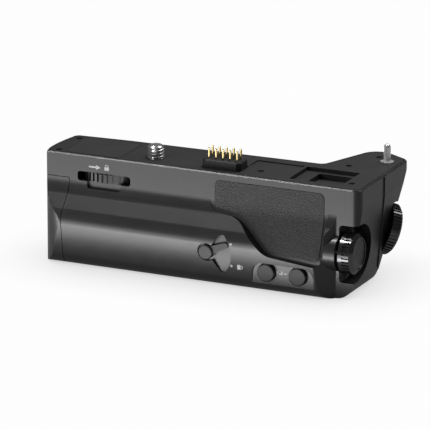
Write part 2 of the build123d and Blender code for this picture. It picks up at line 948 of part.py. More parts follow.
def make_thumbwheel():
    """The knurled wheel with its gear and hub."""
    towards = math.atan2(-wheel_y, -wheel_x)
    rim_low = (slot_z[0] + slot_z[1] - wheel_thickness) / 2
    axle = Plane(origin=(wheel_x, wheel_y, rim_low), z_dir=(0, 0, 1))
    gear_low = -gear_top - gear_thickness
    bore = axle_radius + fit_gap
    with BuildPart() as wheel:
        add(knurled_ring(axle, wheel_radius, wheel_thickness, bore, wheel_grooves, wheel_groove_depth))
        add(rod(axle, hub_radius, -gear_top - rim_low, bore))
        with BuildSketch(Plane(origin=(wheel_x, wheel_y, gear_low), z_dir=(0, 0, 1))):
            add(gear_sketch(wheel_teeth, towards, bore))
        extrude(amount=gear_thickness)
    return wheel.part


def make_wheel_axle():
    """The fixed pin that the thumbwheel turns on."""
    foot = -bracket_drop - bracket_thickness
    return rod(Plane(origin=(wheel_x, wheel_y, foot), z_dir=(0, 0, 1)), axle_radius, -foot - plate_thickness)


def make_gear_bracket():
    """The metal plate under the gears, hung from the top plate's posts."""
    with BuildPart() as bracket:
        add(block(bracket_x, bracket_y, (-bracket_drop - bracket_thickness, -bracket_drop)))
        fillet(bracket.edges().filter_by(Axis.Z), post_radius)
        with Locations((0, 0, -bracket_drop)):
            Cylinder(shank_radius + fit_gap, 2 * overrun, mode=Mode.SUBTRACT)
        with Locations((wheel_x, wheel_y, -bracket_drop)):
            Cylinder(axle_radius, 2 * overrun, mode=Mode.SUBTRACT)
    return bracket.part


def bay_sketch(grow=0):
    """The battery's cross-section with its keyed corner, seen along X."""
    points = [
        (bay_y[0], bay_z[0]),
        (bay_y[1], bay_z[0]),
        (bay_y[1], bay_z[1]),
        (bay_y[0] + bay_cut, bay_z[1]),
        (bay_y[0], bay_z[1] - bay_cut),
    ]
    with BuildSketch(Plane.YZ.offset(seam_plane)) as section:
        with BuildLine():
            Polyline(*points, close=True)
        make_face()
        if grow:
            offset(amount=grow, kind=Kind.INTERSECTION)
    return section.sketch


def make_battery_bay():
    """The tube that holds the battery, with a flange that closes the housing behind the door."""
    tall = body_height + seam_drop
    low, high = middle_band()
    axis = Plane(origin=(seam_plane, hinge_y, low + hinge_play), z_dir=(0, 0, 1))
    with BuildPart() as bay:
        add(housing_form(wall + plate_gap))
        add(block(
            (seam_plane + seam_gap, seam_plane + seam_gap + flange_thickness),
            (-grip_reach, grip_reach),
            (-body_height, -seam_drop - wall),
        ), mode=Mode.INTERSECT)
        extrude(to_extrude=bay_sketch(bay_wall), amount=bay_depth + bay_wall)
        add(
            block((-left_reach, seam_plane + seam_gap), (-grip_reach, grip_reach), (-tall, 0)),
            mode=Mode.SUBTRACT,
        )
        extrude(to_extrude=bay_sketch(), amount=bay_depth, mode=Mode.SUBTRACT)
        add(hinge_space(), mode=Mode.SUBTRACT)
        add(rod(axis, hinge_radius, high - low - 2 * hinge_play))
        with Locations((seam_plane + seam_gap + flange_thickness / 2, hinge_y, (low + high) / 2)):
            Box(flange_thickness + 2 * seam_gap, hinge_radius, high - low - 2 * hinge_play)
        add(rod(along(axis, -overrun), hinge_pin_radius, high - low + 2 * overrun), mode=Mode.SUBTRACT)
        add(block(
            (seam_plane, seam_plane + catch_size[1] + seam_gap + plate_gap),
            (bay_y[0] - catch_size[0] - catch_travel - skin_gap, bay_y[0]),
            (catch_z - catch_size[2] / 2 - plate_gap, catch_z + catch_size[2] / 2 + plate_gap),
        ), mode=Mode.SUBTRACT)
    return bay.part


def make_battery_catch():
    """The sprung catch that holds the battery in."""
    x = seam_plane + seam_gap
    return block(
        (x, x + catch_size[1]),
        (bay_y[0] - catch_size[0] + catch_travel, bay_y[0] + catch_travel),
        (catch_z - catch_size[2] / 2, catch_z + catch_size[2] / 2),
    )


def make_contact_carrier():
    """The insulating block at the end of the bay."""
    end = seam_plane + bay_depth
    mid = (bay_y[0] + bay_y[1]) / 2
    half = contact_pitch * contact_count / 2
    top = bay_z[0] + contact_blade[2] + carrier_depth
    return block((end - carrier_depth, end), (mid - half, mid + half), (bay_z[0], top))


def make_battery_contacts():
    """The blades that meet the battery's terminals."""
    end = seam_plane + bay_depth - carrier_depth
    mid = (bay_y[0] + bay_y[1]) / 2
    with BuildPart() as blades:
        for index in range(contact_count):
            y = mid + (index - (contact_count - 1) / 2) * contact_pitch
            with Locations((end - contact_blade[0] / 2, y, bay_z[0] + carrier_depth + contact_blade[2] / 2)):
                Box(*contact_blade)
    return blades.part


def make_eject_spring():
    """The leaf spring that lifts the battery out."""
    end = seam_plane + bay_depth
    tip = leaf_z + leaf_foot + leaf_reach
    points = [
        (end, leaf_z),
        (end, leaf_z + leaf_foot),
        (end - leaf_reach, tip),
        (end - leaf_reach - leaf_thickness, tip),
        (end - leaf_thickness, leaf_z + leaf_foot - leaf_thickness),
        (end - leaf_thickness, leaf_z),
    ]
    with BuildPart() as leaf:
        with BuildSketch(Plane(origin=(0, leaf_y, 0), x_dir=(1, 0, 0), z_dir=(0, -1, 0))):
            with BuildLine():
                Polyline(*points, close=True)
            make_face()
        extrude(amount=leaf_width / 2, both=True)
    return leaf.part


def make_door():
    """The door: the housing's left end, hollow behind, with two hinge knuckles."""
    far = 2 * left_reach
    low, high = middle_band()
    foot = -body_height + knuckle_inset
    head = -seam_drop - knuckle_inset
    edge = seam_plane - seam_gap
    with BuildPart() as door:
        add(housing_form())
        add(block((-far, edge), (-far, far), (-far, -seam_drop - seam_gap)), mode=Mode.INTERSECT)
        with BuildPart(mode=Mode.PRIVATE) as hollow:
            add(housing_form(door_wall))
            add(
                block((-far, seam_plane), (-far, far), (-far, -seam_drop - seam_gap - door_wall)),
                mode=Mode.INTERSECT,
            )
        add(hollow.part, mode=Mode.SUBTRACT)
        axis = Plane(origin=(seam_plane, hinge_y, 0), z_dir=(0, 0, 1))
        middle = rod(along(axis, low - hinge_play), hinge_relief, high - low + 2 * hinge_play)
        add(middle, mode=Mode.SUBTRACT)
        for start in (foot, head - knuckle_length):
            add(rod(along(axis, start), hinge_radius, knuckle_length))
            add(block(
                (seam_plane - hinge_relief, seam_plane),
                (hinge_y, hinge_y + hinge_radius),
                (start, start + knuckle_length),
            ))
        pin_space = rod(along(axis, foot + plate_gap), hinge_pin_radius, body_height - seam_drop)
        add(pin_space, mode=Mode.SUBTRACT)
    return door.part


def make_hinge_pin():
    """The door's hinge pin."""
    foot = -body_height + knuckle_inset + plate_gap
    head = -seam_drop - knuckle_inset
    plane = Plane(origin=(seam_plane, hinge_y, foot), z_dir=(0, 0, 1))
    return rod(plane, hinge_pin_radius - fit_gap, head - foot)


def cut_door_for_latch(door):
    """The door with the latch's pocket and slot in its end wall."""
    floor = -left_reach + latch_sink + latch_thickness
    neck_y = (latch_y[0] + latch_y[1] - bolt_width) / 2
    with BuildPart() as piece:
        add(door)
        add(block(
            (-2 * left_reach, floor + plate_gap),
            (latch_y[0] - plate_gap, latch_y[1] + plate_gap),
            (latch_z[0] - latch_travel - plate_gap, latch_z[1] + plate_gap),
        ), mode=Mode.SUBTRACT)
        add(block(
            (-2 * left_reach, seam_plane),
            (neck_y - plate_gap, neck_y + bolt_width + plate_gap),
            (latch_z[0] - latch_travel + bolt_width, latch_z[1] - bolt_width),
        ), mode=Mode.SUBTRACT)
    return piece.part


def make_door_latch():
    """The sliding knob on the door's end, with its bolt behind the wall."""
    outer = -left_reach + latch_sink
    middle = (latch_y[0] + latch_y[1]) / 2
    neck = (middle - bolt_width / 2, middle + bolt_width / 2)
    inner = -left_reach + door_wall + bolt_clear
    top = -seam_drop - seam_gap - door_wall - plate_gap
    with BuildPart() as latch:
        add(block((outer, outer + latch_thickness), latch_y, latch_z))
        fillet(latch.edges().filter_by(Axis.X), latch_corner)
        pitch = (latch_z[1] - latch_z[0]) / (latch_grooves + 1)
        for index in range(latch_grooves):
            start = Plane(
                origin=(outer, latch_y[0] + latch_groove_margin, latch_z[0] + pitch * (index + 1)),
                z_dir=(0, 1, 0),
            )
            length = latch_y[1] - latch_y[0] - 2 * latch_groove_margin
            add(rod(start, latch_groove_radius, length), mode=Mode.SUBTRACT)
        add(block(
            (outer + latch_thickness, inner + bolt_thickness),
            neck,
            (latch_z[0] + 2 * bolt_width, latch_z[1] - 2 * bolt_width + bolt_thickness),
        ))
        add(block(
            (inner, inner + bolt_thickness),
            (middle - bolt_width, middle + bolt_width),
            (latch_z[0] + bolt_width, top),
        ))
    return latch.part


def make_door_liner():
    """The inner panel of the door."""
    edge = seam_plane - seam_gap - liner_gap
    with BuildPart() as liner:
        add(housing_form(door_wall + plate_gap))
        add(block(
            (edge - liner_thickness, edge),
            (-grip_reach, hinge_y - hinge_relief - plate_gap),
            (-body_height, -seam_drop - seam_gap - door_wall - plate_gap),
        ), mode=Mode.INTERSECT)
    return liner.part


def make_door_seal():
    """The rubber frame on the liner that closes the bay's mouth."""
    edge = seam_plane - seam_gap - liner_gap
    with BuildPart() as seal:
        extrude(to_extrude=bay_sketch(seal_width / 2), amount=seal_thickness)
        extrude(to_extrude=bay_sketch(-seal_width / 2), amount=seal_thickness, mode=Mode.SUBTRACT)
    return seal.part.moved(Location((edge - seam_plane, 0, 0)))


def make_connector():
    """The raised base that carries the contact pins up to the camera."""
    with BuildPart() as base:
        add(block(connector_x, connector_y, (-board_drop, connector_rise)))
        chamfer(base.edges().filter_by(Axis.Z), connector_chamfer)
        chamfer(base.edges().group_by(Axis.Z)[-1], rim_chamfer)
        with BuildSketch(Plane.XY.offset(-board_drop)):
            with Locations(((connector_x[0] + connector_x[1]) / 2, (connector_y[0] + connector_y[1]) / 2)):
                with GridLocations(pin_pitch_x, pin_pitch_y, pin_columns, 2):
                    Circle(pin_radius)
        extrude(amount=board_drop + connector_rise, mode=Mode.SUBTRACT)
    return base.part


def make_contact_pins():
    """The gold pins, in two rows."""
    with BuildPart() as pins:
        with BuildSketch(Plane.XY.offset(-board_drop)):
            with Locations(((connector_x[0] + connector_x[1]) / 2, (connector_y[0] + connector_y[1]) / 2)):
                with GridLocations(pin_pitch_x, pin_pitch_y, pin_columns, 2):
                    Circle(pin_radius)
        extrude(amount=board_drop + pin_rise)
        chamfer(pins.edges().group_by(Axis.Z)[-1], pin_radius / 2)
    return pins.part


def make_main_board():
    """The circuit board under the top plate."""
    return block(board_x, board_y, (-board_drop - board_thickness, -board_drop))


def make_locating_pin():
    """The steel pin that lines the grip up with the camera."""
    face = Plane(origin=(locator_x, locator_y, 0), z_dir=(0, 0, 1))
    with BuildPart() as pin:
        add(rod(along(face, -plate_thickness), locator_shank_radius, plate_thickness))
        add(rod(along(face, -locator_flange), locator_flange_radius, locator_flange))
        add(rod(face, locator_radius, locator_height - locator_radius))
        with Locations((locator_x, locator_y, locator_height - locator_radius)):
            Sphere(locator_radius)
    return pin.part


def make_tripod_bush():
    """The threaded bush in the base."""
    floor = -body_height
    with BuildPart() as bush:
        with Locations((bush_x, 0, floor)):
            Cylinder(bush_radius, bush_length, align=(Align.CENTER, Align.CENTER, Align.MIN))
        with Locations((bush_x, 0, floor + wall)):
            Cylinder(bush_flange_radius, bush_flange, align=(Align.CENTER, Align.CENTER, Align.MIN))
        with Locations((bush_x, 0, floor)):
            Cylinder(
                bush_bore_radius, bush_length - bush_flange,
                align=(Align.CENTER, Align.CENTER, Align.MIN), mode=Mode.SUBTRACT,
            )
    return bush.part


def make_side_board():
    """The small board behind the lever and the buttons."""
    return block(side_board_x, (side_board_y, side_board_y + side_board_thickness), side_board_z)


def make_button(index):
    """One function button with its retaining flange."""
    skin = Plane(origin=(button_x[index], -button_flange_reach, button_z), x_dir=(1, 0, 0), z_dir=(0, -1, 0))
    with BuildPart() as button:
        add(button_body(skin, button_radius, button_reach - button_flange_reach, button_dome))
        add(rod(along(skin, -button_flange), button_flange_radius, button_flange))
    return button.part


def make_button_switches():
    """The two switches under the function buttons."""
    with BuildPart() as switches:
        for x in button_x:
            add(block(
                (x - switch_size / 2, x + switch_size / 2),
                (-button_switch_reach, side_board_y),
                (button_z - switch_size / 2, button_z + switch_size / 2),
            ))
    return switches.part


def make_lock_lever():
    """The lock lever: round knob, tapered arm and shaft."""
    lean = math.radians(lever_rise_angle)
    knob_length = lever_knob_reach - lever_floor_reach - fit_gap
    arm_length = lever_arm_reach - lever_floor_reach - fit_gap
    tip = (lever_arm * math.cos(lean), lever_arm * math.sin(lean))
    with BuildPart() as lever:
        with BuildSketch(along(lever_plane, fit_gap)):
            with BuildLine():
                side = lever_knob_radius - lever_tip_radius
                sides = [
                    (-math.sin(lean) * side, math.cos(lean) * side),
                    (tip[0] - math.sin(lean) * lever_tip_radius, tip[1] + math.cos(lean) * lever_tip_radius),
                    (tip[0] + math.sin(lean) * lever_tip_radius, tip[1] - math.cos(lean) * lever_tip_radius),
                    (math.sin(lean) * side, -math.cos(lean) * side),
                ]
                Polyline(*sides, close=True)
            make_face()
            with Locations(tip):
                Circle(lever_tip_radius)
        extrude(amount=arm_length)
        add(button_body(along(lever_plane, fit_gap), lever_knob_radius, knob_length, rim_chamfer))
        add(rod(along(lever_plane, -lever_shaft_length), lever_shaft_radius, lever_shaft_length + fit_gap))
    return lever.part


def make_lever_clip():
    """The clip that keeps the lever's shaft in the wall."""
    back = along(lever_plane, -wall - plate_gap - lever_clip_thickness)
    return rod(back, lever_clip_radius, lever_clip_thickness, lever_shaft_radius)


def make_lock_switch():
    """The switch that the lever turns."""
    return block(
        (lever_x - switch_size / 2, lever_x + switch_size / 2),
        (-lever_floor_reach + lever_shaft_length + skin_gap, side_board_y),
        (lever_z - switch_size / 2, lever_z + switch_size / 2),
    )


def make_rear_dial():
    """The rear dial: shiny ring, knurl and bevelled face."""
    back = along(dial_plane, -dial_thickness)
    bevel = dial_thickness - dial_ring - dial_knurl
    with BuildPart() as dial:
        add(rod(back, dial_radius, dial_ring))
        start = along(back, dial_ring)
        add(knurled_ring(start, dial_radius, dial_knurl, 0, dial_grooves, dial_groove_depth))
        with BuildSketch(along(dial_plane, -bevel)):
            Circle(dial_radius)
        with BuildSketch(dial_plane):
            Circle(dial_face_radius)
        loft()
        seat = along(dial_plane, -dial_cap_sink - dial_cap_thickness)
        add(rod(seat, dial_cap_radius, overrun), mode=Mode.SUBTRACT)
        add(rod(back, dial_axle_radius, overrun), mode=Mode.SUBTRACT)
    return dial.part


def make_rear_dial_cap():
    """The brushed disc in the rear dial's face."""
    return rod(along(dial_plane, -dial_cap_sink - dial_cap_thickness), dial_cap_radius, dial_cap_thickness)


def make_rear_dial_axle():
    """The axle that carries the rear dial through the wall."""
    start = dial_recess_x - dial_bush_length - encoder_length
    length = dial_face_x - dial_cap_sink - dial_cap_thickness - start
    plane = Plane(origin=(start, dial_y, dial_z), x_dir=(0, 1, 0), z_dir=(1, 0, 0))
    return rod(plane, dial_axle_radius, length)


def make_rear_dial_bush():
    """The bush in the housing wall that the rear dial's axle turns in."""
    start = dial_recess_x - dial_bush_length
    plane = Plane(origin=(start, dial_y, dial_z), x_dir=(0, 1, 0), z_dir=(1, 0, 0))
    return rod(plane, dial_bush_radius, dial_bush_length, dial_axle_radius + fit_gap)


def make_rear_encoder():
    """The encoder behind the rear dial."""
    start = dial_recess_x - dial_bush_length - encoder_length
    plane = Plane(origin=(start, dial_y, dial_z), x_dir=(0, 1, 0), z_dir=(1, 0, 0))
    return rod(plane, encoder_radius, encoder_length, dial_axle_radius + fit_gap)


def make_front_dial():
    """The knurled ring around the shutter button."""
    back = along(slant, -front_thickness)
    bore = collar_outer + fit_gap
    with BuildPart() as dial:
        add(knurled_ring(back, front_radius, front_thickness, bore, front_grooves, front_groove_depth))
        with BuildPart(mode=Mode.INTERSECT):
            add(rod(back, front_radius, front_thickness - front_bevel))
            with BuildSketch(along(slant, -front_bevel)):
                Circle(front_radius)
            with BuildSketch(slant):
                Circle(front_radius - front_bevel)
            loft()
    return dial.part


def make_shutter_collar():
    """The fixed tube that the front dial turns on and the shutter button slides in."""
    return rod(along(slant, -collar_length), collar_outer, collar_length, collar_inner)


def make_shutter_button():
    """The shutter button with its stem."""
    floor = -shutter_depth
    with BuildPart() as button:
        add(button_body(along(slant, floor), shutter_radius, shutter_depth + shutter_proud, button_dome))
        add(rod(along(slant, -shutter_stem_reach), shutter_stem_radius, shutter_stem_reach - shutter_depth))
    return button.part


def make_front_encoder():
    """The encoder of the front dial, at the collar's foot."""
    foot = along(slant, -collar_length - front_encoder_length)
    return rod(foot, front_encoder_radius, front_encoder_length, front_encoder_bore)


def make_shutter_switch():
    """The shutter button's switch."""
    top = collar_length + front_encoder_length
    return rod(along(slant, -top - shutter_switch_length), shutter_switch_radius, shutter_switch_length)


def build_part():
    """Every piece of the grip by its node name."""
    housing = make_housing()
    rear, front = make_shells(housing)
    return {
        "rear_shell": rear,
        "front_shell": front,
        "hand_grip_rubber": make_hand_grip_rubber(),
        "top_plate": make_top_plate(),
        "label_plate": make_label_plate(),
        "thumb_rest_rubber": make_thumb_rest(),
        "top_screws": make_top_screws(),
        "base_screws": make_base_screws(),
        "camera_screw": make_camera_screw(),
        "screw_gear": make_screw_gear(),
        "thumbwheel": make_thumbwheel(),
        "wheel_axle": make_wheel_axle(),
        "gear_bracket": make_gear_bracket(),
        "battery_bay": make_battery_bay(),
        "battery_catch": make_battery_catch(),
        "contact_carrier": make_contact_carrier(),
        "battery_contacts": make_battery_contacts(),
        "eject_spring": make_eject_spring(),
        "battery_door": cut_door_for_latch(make_door()),
        "door_hinge_pin": make_hinge_pin(),
        "door_latch": make_door_latch(),
        "door_liner": make_door_liner(),
        "door_seal": make_door_seal(),
        "connector_base": make_connector(),
        "contact_pins": make_contact_pins(),
        "main_board": make_main_board(),
        "locating_pin": make_locating_pin(),
        "tripod_bush": make_tripod_bush(),
        "side_board": make_side_board(),
        "button_1": make_button(0),
        "button_2": make_button(1),
        "button_switches": make_button_switches(),
        "lock_lever": make_lock_lever(),
        "lever_clip": make_lever_clip(),
        "lock_switch": make_lock_switch(),
        "rear_dial": make_rear_dial(),
        "rear_dial_cap": make_rear_dial_cap(),
        "rear_dial_axle": make_rear_dial_axle(),
        "rear_dial_bush": make_rear_dial_bush(),
        "rear_encoder": make_rear_encoder(),
        "front_dial": make_front_dial(),
        "shutter_collar": make_shutter_collar(),
        "shutter_button": make_shutter_button(),
        "front_encoder": make_front_encoder(),
        "shutter_switch": make_shutter_switch(),
    }


for name, solid in build_part().items():
    solid.label = name
    export_step(solid, f"parts/{name}.step")
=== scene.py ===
"""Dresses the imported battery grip: finishes, threads, screws, rib, signs, studio and camera."""

import logging
import math
from dataclasses import dataclass, field
from enum import Enum

import bmesh
import bpy
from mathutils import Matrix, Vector
from mathutils.bvhtree import BVHTree


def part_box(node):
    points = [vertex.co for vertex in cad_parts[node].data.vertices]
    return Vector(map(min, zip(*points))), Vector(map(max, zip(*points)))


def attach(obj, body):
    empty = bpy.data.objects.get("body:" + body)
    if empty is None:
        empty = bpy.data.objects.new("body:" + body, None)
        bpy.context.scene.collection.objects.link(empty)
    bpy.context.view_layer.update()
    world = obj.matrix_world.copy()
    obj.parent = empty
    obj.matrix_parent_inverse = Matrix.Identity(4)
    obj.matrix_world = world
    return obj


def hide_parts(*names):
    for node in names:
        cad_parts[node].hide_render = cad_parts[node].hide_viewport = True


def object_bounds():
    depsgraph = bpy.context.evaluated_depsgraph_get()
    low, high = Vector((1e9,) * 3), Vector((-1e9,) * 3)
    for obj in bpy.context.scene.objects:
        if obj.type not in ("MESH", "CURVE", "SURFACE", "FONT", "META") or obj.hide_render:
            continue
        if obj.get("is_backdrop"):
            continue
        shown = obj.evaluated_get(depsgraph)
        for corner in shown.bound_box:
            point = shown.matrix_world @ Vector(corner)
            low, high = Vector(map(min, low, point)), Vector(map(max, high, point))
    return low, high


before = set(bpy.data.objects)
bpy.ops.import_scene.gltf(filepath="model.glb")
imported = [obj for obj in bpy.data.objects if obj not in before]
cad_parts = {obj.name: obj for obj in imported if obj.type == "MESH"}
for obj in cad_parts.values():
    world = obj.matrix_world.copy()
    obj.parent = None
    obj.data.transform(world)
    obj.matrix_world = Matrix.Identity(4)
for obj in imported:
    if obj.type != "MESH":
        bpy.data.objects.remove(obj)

log = logging.getLogger("battery_grip")
MM = 0.001
FULL_TURN = 2 * math.pi
WELD = 1e-7
CREASE = math.radians(35)
Colour = tuple[float, float, float]
Point = tuple[float, float]
Polygon = list[Point]


# Shader toolkit

# Sockets of a Mix node that blends colours, by number because their names repeat.
MIX_SHARE, MIX_LOW, MIX_HIGH, MIX_COLOUR = 0, 6, 7, 2


@dataclass(frozen=True)
class Wire:
    """One output socket of a shader node, on which Python's operators add Math nodes."""

    graph: "ShaderGraph"
    socket: bpy.types.NodeSocket

    def __add__(self, other: "Wire | float") -> "Wire":
        """Sum of this value and another."""
        return self.graph.maths("ADD", self, other)

    def __radd__(self, other: float) -> "Wire":
        """Sum with a plain number on the left."""
        return self.graph.maths("ADD", other, self)

    def __sub__(self, other: "Wire | float") -> "Wire":
        """This value less another."""
        return self.graph.maths("SUBTRACT", self, other)

    def __rsub__(self, other: float) -> "Wire":
        """A plain number less this value."""
        return self.graph.maths("SUBTRACT", other, self)

    def __mul__(self, other: "Wire | float") -> "Wire":
        """Product of this value and another."""
        return self.graph.maths("MULTIPLY", self, other)

    def __pow__(self, other: "Wire | float") -> "Wire":
        """This value raised to a power."""
        return self.graph.maths("POWER", self, other)

    def at_most(self, other: "Wire | float") -> "Wire":
        """The smaller of this value and another."""
        return self.graph.maths("MINIMUM", self, other)

    def at_least(self, other: "Wire | float") -> "Wire":
        """The larger of this value and another."""
        return self.graph.maths("MAXIMUM", self, other)

    def between(self, low: float, high: float) -> "Wire":
        """This value stretched so that low becomes 0 and high becomes 1, and cut off there."""
        return ((self - low) * (1 / (high - low))).at_least(0.0).at_most(1.0)


class ShaderGraph:
    """Adds nodes to one material or world."""

    def __init__(self, tree: bpy.types.NodeTree) -> None:
        """Takes the node tree and empties it."""
        self.tree = tree
        tree.nodes.clear()

    def node(
        self, kind: str, settings: dict | None = None, inputs: dict | None = None
    ) -> bpy.types.Node:
        """Adds a node of any kind.

        Args:
            kind: the node's type name.
            settings: its own settings, set first.
            inputs: values or wires, by socket name or number.

        Returns:
            The new node.
        """
        made = self.tree.nodes.new(kind)
        for name, value in (settings or {}).items():
            setattr(made, name, value)
        for key, value in (inputs or {}).items():
            if isinstance(value, Wire):
                self.tree.links.new(value.socket, made.inputs[key])
            else:
                made.inputs[key].default_value = value
        return made

    def wire(
        self,
        kind: str,
        settings: dict | None = None,
        inputs: dict | None = None,
        out: int | str = 0,
    ) -> Wire:
        """Adds a node and returns one of its outputs, the first if none is named."""
        return Wire(self, self.node(kind, settings, inputs).outputs[out])

    def maths(self, operation: str, *terms: "Wire | float") -> Wire:
        """Adds a Math node on two values."""
        return self.wire("ShaderNodeMath", {"operation": operation}, dict(enumerate(terms)))

    def vector(self, operation: str, *terms: "Wire | tuple") -> Wire:
        """Adds a Vector Math node on two points."""
        settings = {"operation": operation}
        return self.wire("ShaderNodeVectorMath", settings, dict(enumerate(terms)))

    def place(self) -> Wire:
        """The point in the part's own frame, in metres."""
        return self.wire("ShaderNodeTexCoord", out="Object")

    def noise(self, size_mm: float, detail: float, place: Wire | None = None) -> Wire:
        """Cloudy noise from 0 to 1 with lumps of about that size."""
        scale = 1 / (size_mm * MM)
        inputs = {"Vector": place or self.place(), "Scale": scale, "Detail": detail}
        return self.wire("ShaderNodeTexNoise", inputs=inputs)

    def blend(self, share: Wire, low: Colour, high: Colour) -> Wire:
        """A colour between two, by a share from 0 to 1."""
        inputs = {MIX_SHARE: share, MIX_LOW: (*low, 1), MIX_HIGH: (*high, 1)}
        return self.wire("ShaderNodeMix", {"data_type": "RGBA"}, inputs, MIX_COLOUR)

    def bump(self, height: Wire, depth_mm: float, under: Wire | None = None) -> Wire:
        """A surface normal from a height map whose step from 0 to 1 is depth_mm high."""
        inputs = {"Height": height, "Distance": depth_mm * MM, "Strength": 1.0}
        if under is not None:
            inputs["Normal"] = under
        return self.wire("ShaderNodeBump", inputs=inputs)


# Finishes


def toned(colour: Colour, factor: float) -> Colour:
    """A colour made paler or darker by a factor."""
    return tuple(c * factor for c in colour)


@dataclass(frozen=True)
class Finish:
    """A surface finish: colour, gloss and fine relief. Sizes are in millimetres."""

    name: str
    colour: Colour
    roughness: float
    metallic: float = 0.0
    specular: float = 0.5
    grain: float = 0.3
    grain_detail: float = 3.0
    depth: float = 0.006
    mottle: float = 0.12
    cloud: float = 9.0
    cloud_detail: float = 3.0
    cloud_low: float = 0.3
    cloud_high: float = 0.7
    smear_size: float = 0.6
    smear_detail: float = 4.0
    smear_strength: float = 0.25

    def tone(self, graph: ShaderGraph) -> Wire:
        """Base colour with a slow cloud of lighter and darker places."""
        cloud = graph.noise(self.cloud, self.cloud_detail)
        low, high = toned(self.colour, 1 - self.mottle), toned(self.colour, 1 + self.mottle)
        return graph.blend(cloud.between(self.cloud_low, self.cloud_high), low, high)

    def dullness(self, graph: ShaderGraph) -> Wire:
        """Roughness with faint smears."""
        smear = graph.noise(self.cloud * self.smear_size, self.smear_detail) - 0.5
        return self.roughness + smear * (self.roughness * self.smear_strength)

    def relief(self, graph: ShaderGraph) -> Wire:
        """The grain of the surface as a normal."""
        return graph.bump(graph.noise(self.grain, self.grain_detail), self.depth)

    def make(self) -> bpy.types.Material:
        """Builds the material."""
        material = bpy.data.materials.new(self.name)
        material.use_nodes = True
        graph = ShaderGraph(material.node_tree)
        looks = {
            "Metallic": self.metallic,
            "Specular IOR Level": self.specular,
            "Base Color": self.tone(graph),
            "Roughness": self.dullness(graph),
            "Normal": self.relief(graph),
        }
        shader = graph.wire("ShaderNodeBsdfPrincipled", inputs=looks)
        graph.node("ShaderNodeOutputMaterial", inputs={"Surface": shader})
        return material


@dataclass(frozen=True)
class SprayedPaint(Finish):
    """Satin paint on the moulded housing: fine orange peel with a finer grit on it."""

    grit: float = 0.11
    grit_detail: float = 1.0
    grit_depth: float = 0.0035

    def relief(self, graph: ShaderGraph) -> Wire:
        """Orange peel with grit."""
        peel = super().relief(graph)
        return graph.bump(graph.noise(self.grit, self.grit_detail), self.grit_depth, peel)


@dataclass(frozen=True)
class LeatherRubber(Finish):
    """Moulded rubber with a leather grain: pebbles parted by creases, on a fine dull grain, with
    painted shade in the creases and a painted highlight on the pebble tops.

    The sway's and crease's values are shares of a pebble's size.
    """

    pebble: float = 1.0
    pebble_depth: float = 0.09
    sway_size: float = 1.6
    sway_reach: float = 0.9
    crease_width: float = 0.28
    crown: float = 0.6
    # painted shade darkens the creases and a painted highlight lightens the pebble tops
    crease_shade_tone: float = 0.62
    crown_highlight_tone: float = 1.2
    dull_grain: float = 0.14
    dull_detail: float = 2.0
    dull_depth: float = 0.006

    def pebbles(self, graph: ShaderGraph) -> Wire:
        """Height of the pebbles, 0 in a crease and 1 on top."""
        place = graph.place()
        size = self.pebble * MM
        warp = graph.wire(
            "ShaderNodeTexNoise",
            inputs={"Vector": place, "Scale": 1 / (self.pebble * self.sway_size * MM)},
            out="Color",
        )
        half = graph.vector("SUBTRACT", warp, (0.5, 0.5, 0.5))
        sway = graph.vector("MULTIPLY", half, (self.pebble * self.sway_reach * MM,) * 3)
        edge = graph.wire(
            "ShaderNodeTexVoronoi",
            {"feature": "DISTANCE_TO_EDGE"},
            {"Vector": graph.vector("ADD", place, sway), "Scale": 1 / size},
        )
        return edge.between(0.0, self.crease_width) ** self.crown

    def tone(self, graph: ShaderGraph) -> Wire:
        """Painted shade in the creases and a painted highlight on the pebble tops."""
        dark, pale = toned(self.colour, self.crease_shade_tone), toned(self.colour, self.crown_highlight_tone)
        return graph.blend(self.pebbles(graph), dark, pale)

    def relief(self, graph: ShaderGraph) -> Wire:
        """Pebbles with a fine dull grain."""
        dull = graph.bump(graph.noise(self.dull_grain, self.dull_detail), self.dull_depth)
        return graph.bump(self.pebbles(graph), self.pebble_depth, dull)


class Axis(Enum):
    """Axes that turned pieces were cut about, as the three factors that measure a radius."""

    X = (0.0, 1.0, 1.0)
    Z = (1.0, 1.0, 0.0)


@dataclass(frozen=True)
class TurnedMetal(Finish):
    """Metal faced on a lathe: fine rings about its own axis."""

    centre: tuple[float, float, float] = (0.0, 0.0, 0.0)
    axis: Axis = Axis.Z
    ring: float = 0.09
    ring_detail: float = 3.0
    ring_depth: float = 0.006

    def rings(self, graph: ShaderGraph) -> Wire:
        """Height of the tool marks, the same all round each ring."""
        offset = graph.vector("SUBTRACT", graph.place(), tuple(Vector(self.centre) * MM))
        flat = graph.vector("MULTIPLY", offset, self.axis.value)
        radius = graph.wire("ShaderNodeVectorMath", {"operation": "LENGTH"}, {0: flat}, "Value")
        return graph.wire(
            "ShaderNodeTexNoise",
            {"noise_dimensions": "1D"},
            {"W": radius, "Scale": 1 / (self.ring * MM), "Detail": self.ring_detail},
        )

    def tone(self, graph: ShaderGraph) -> Wire:
        """Rings slightly paler and darker."""
        low, high = toned(self.colour, 1 - self.mottle), toned(self.colour, 1 + self.mottle)
        return graph.blend(self.rings(graph), low, high)

    def relief(self, graph: ShaderGraph) -> Wire:
        """The tool marks as a normal."""
        return graph.bump(self.rings(graph), self.ring_depth)


@dataclass(frozen=True)
class DrawnMetal(Finish):
    """Stamped or drawn metal: fine scratches that all run along X."""

    scratch: float = 0.08
    scratch_detail: float = 2.0
    scratch_stretch: tuple[float, float, float] = (0.04, 1.0, 1.0)

    def relief(self, graph: ShaderGraph) -> Wire:
        """Long scratches."""
        along = graph.vector("MULTIPLY", graph.place(), self.scratch_stretch)
        return graph.bump(graph.noise(self.scratch, self.scratch_detail, along), self.depth)


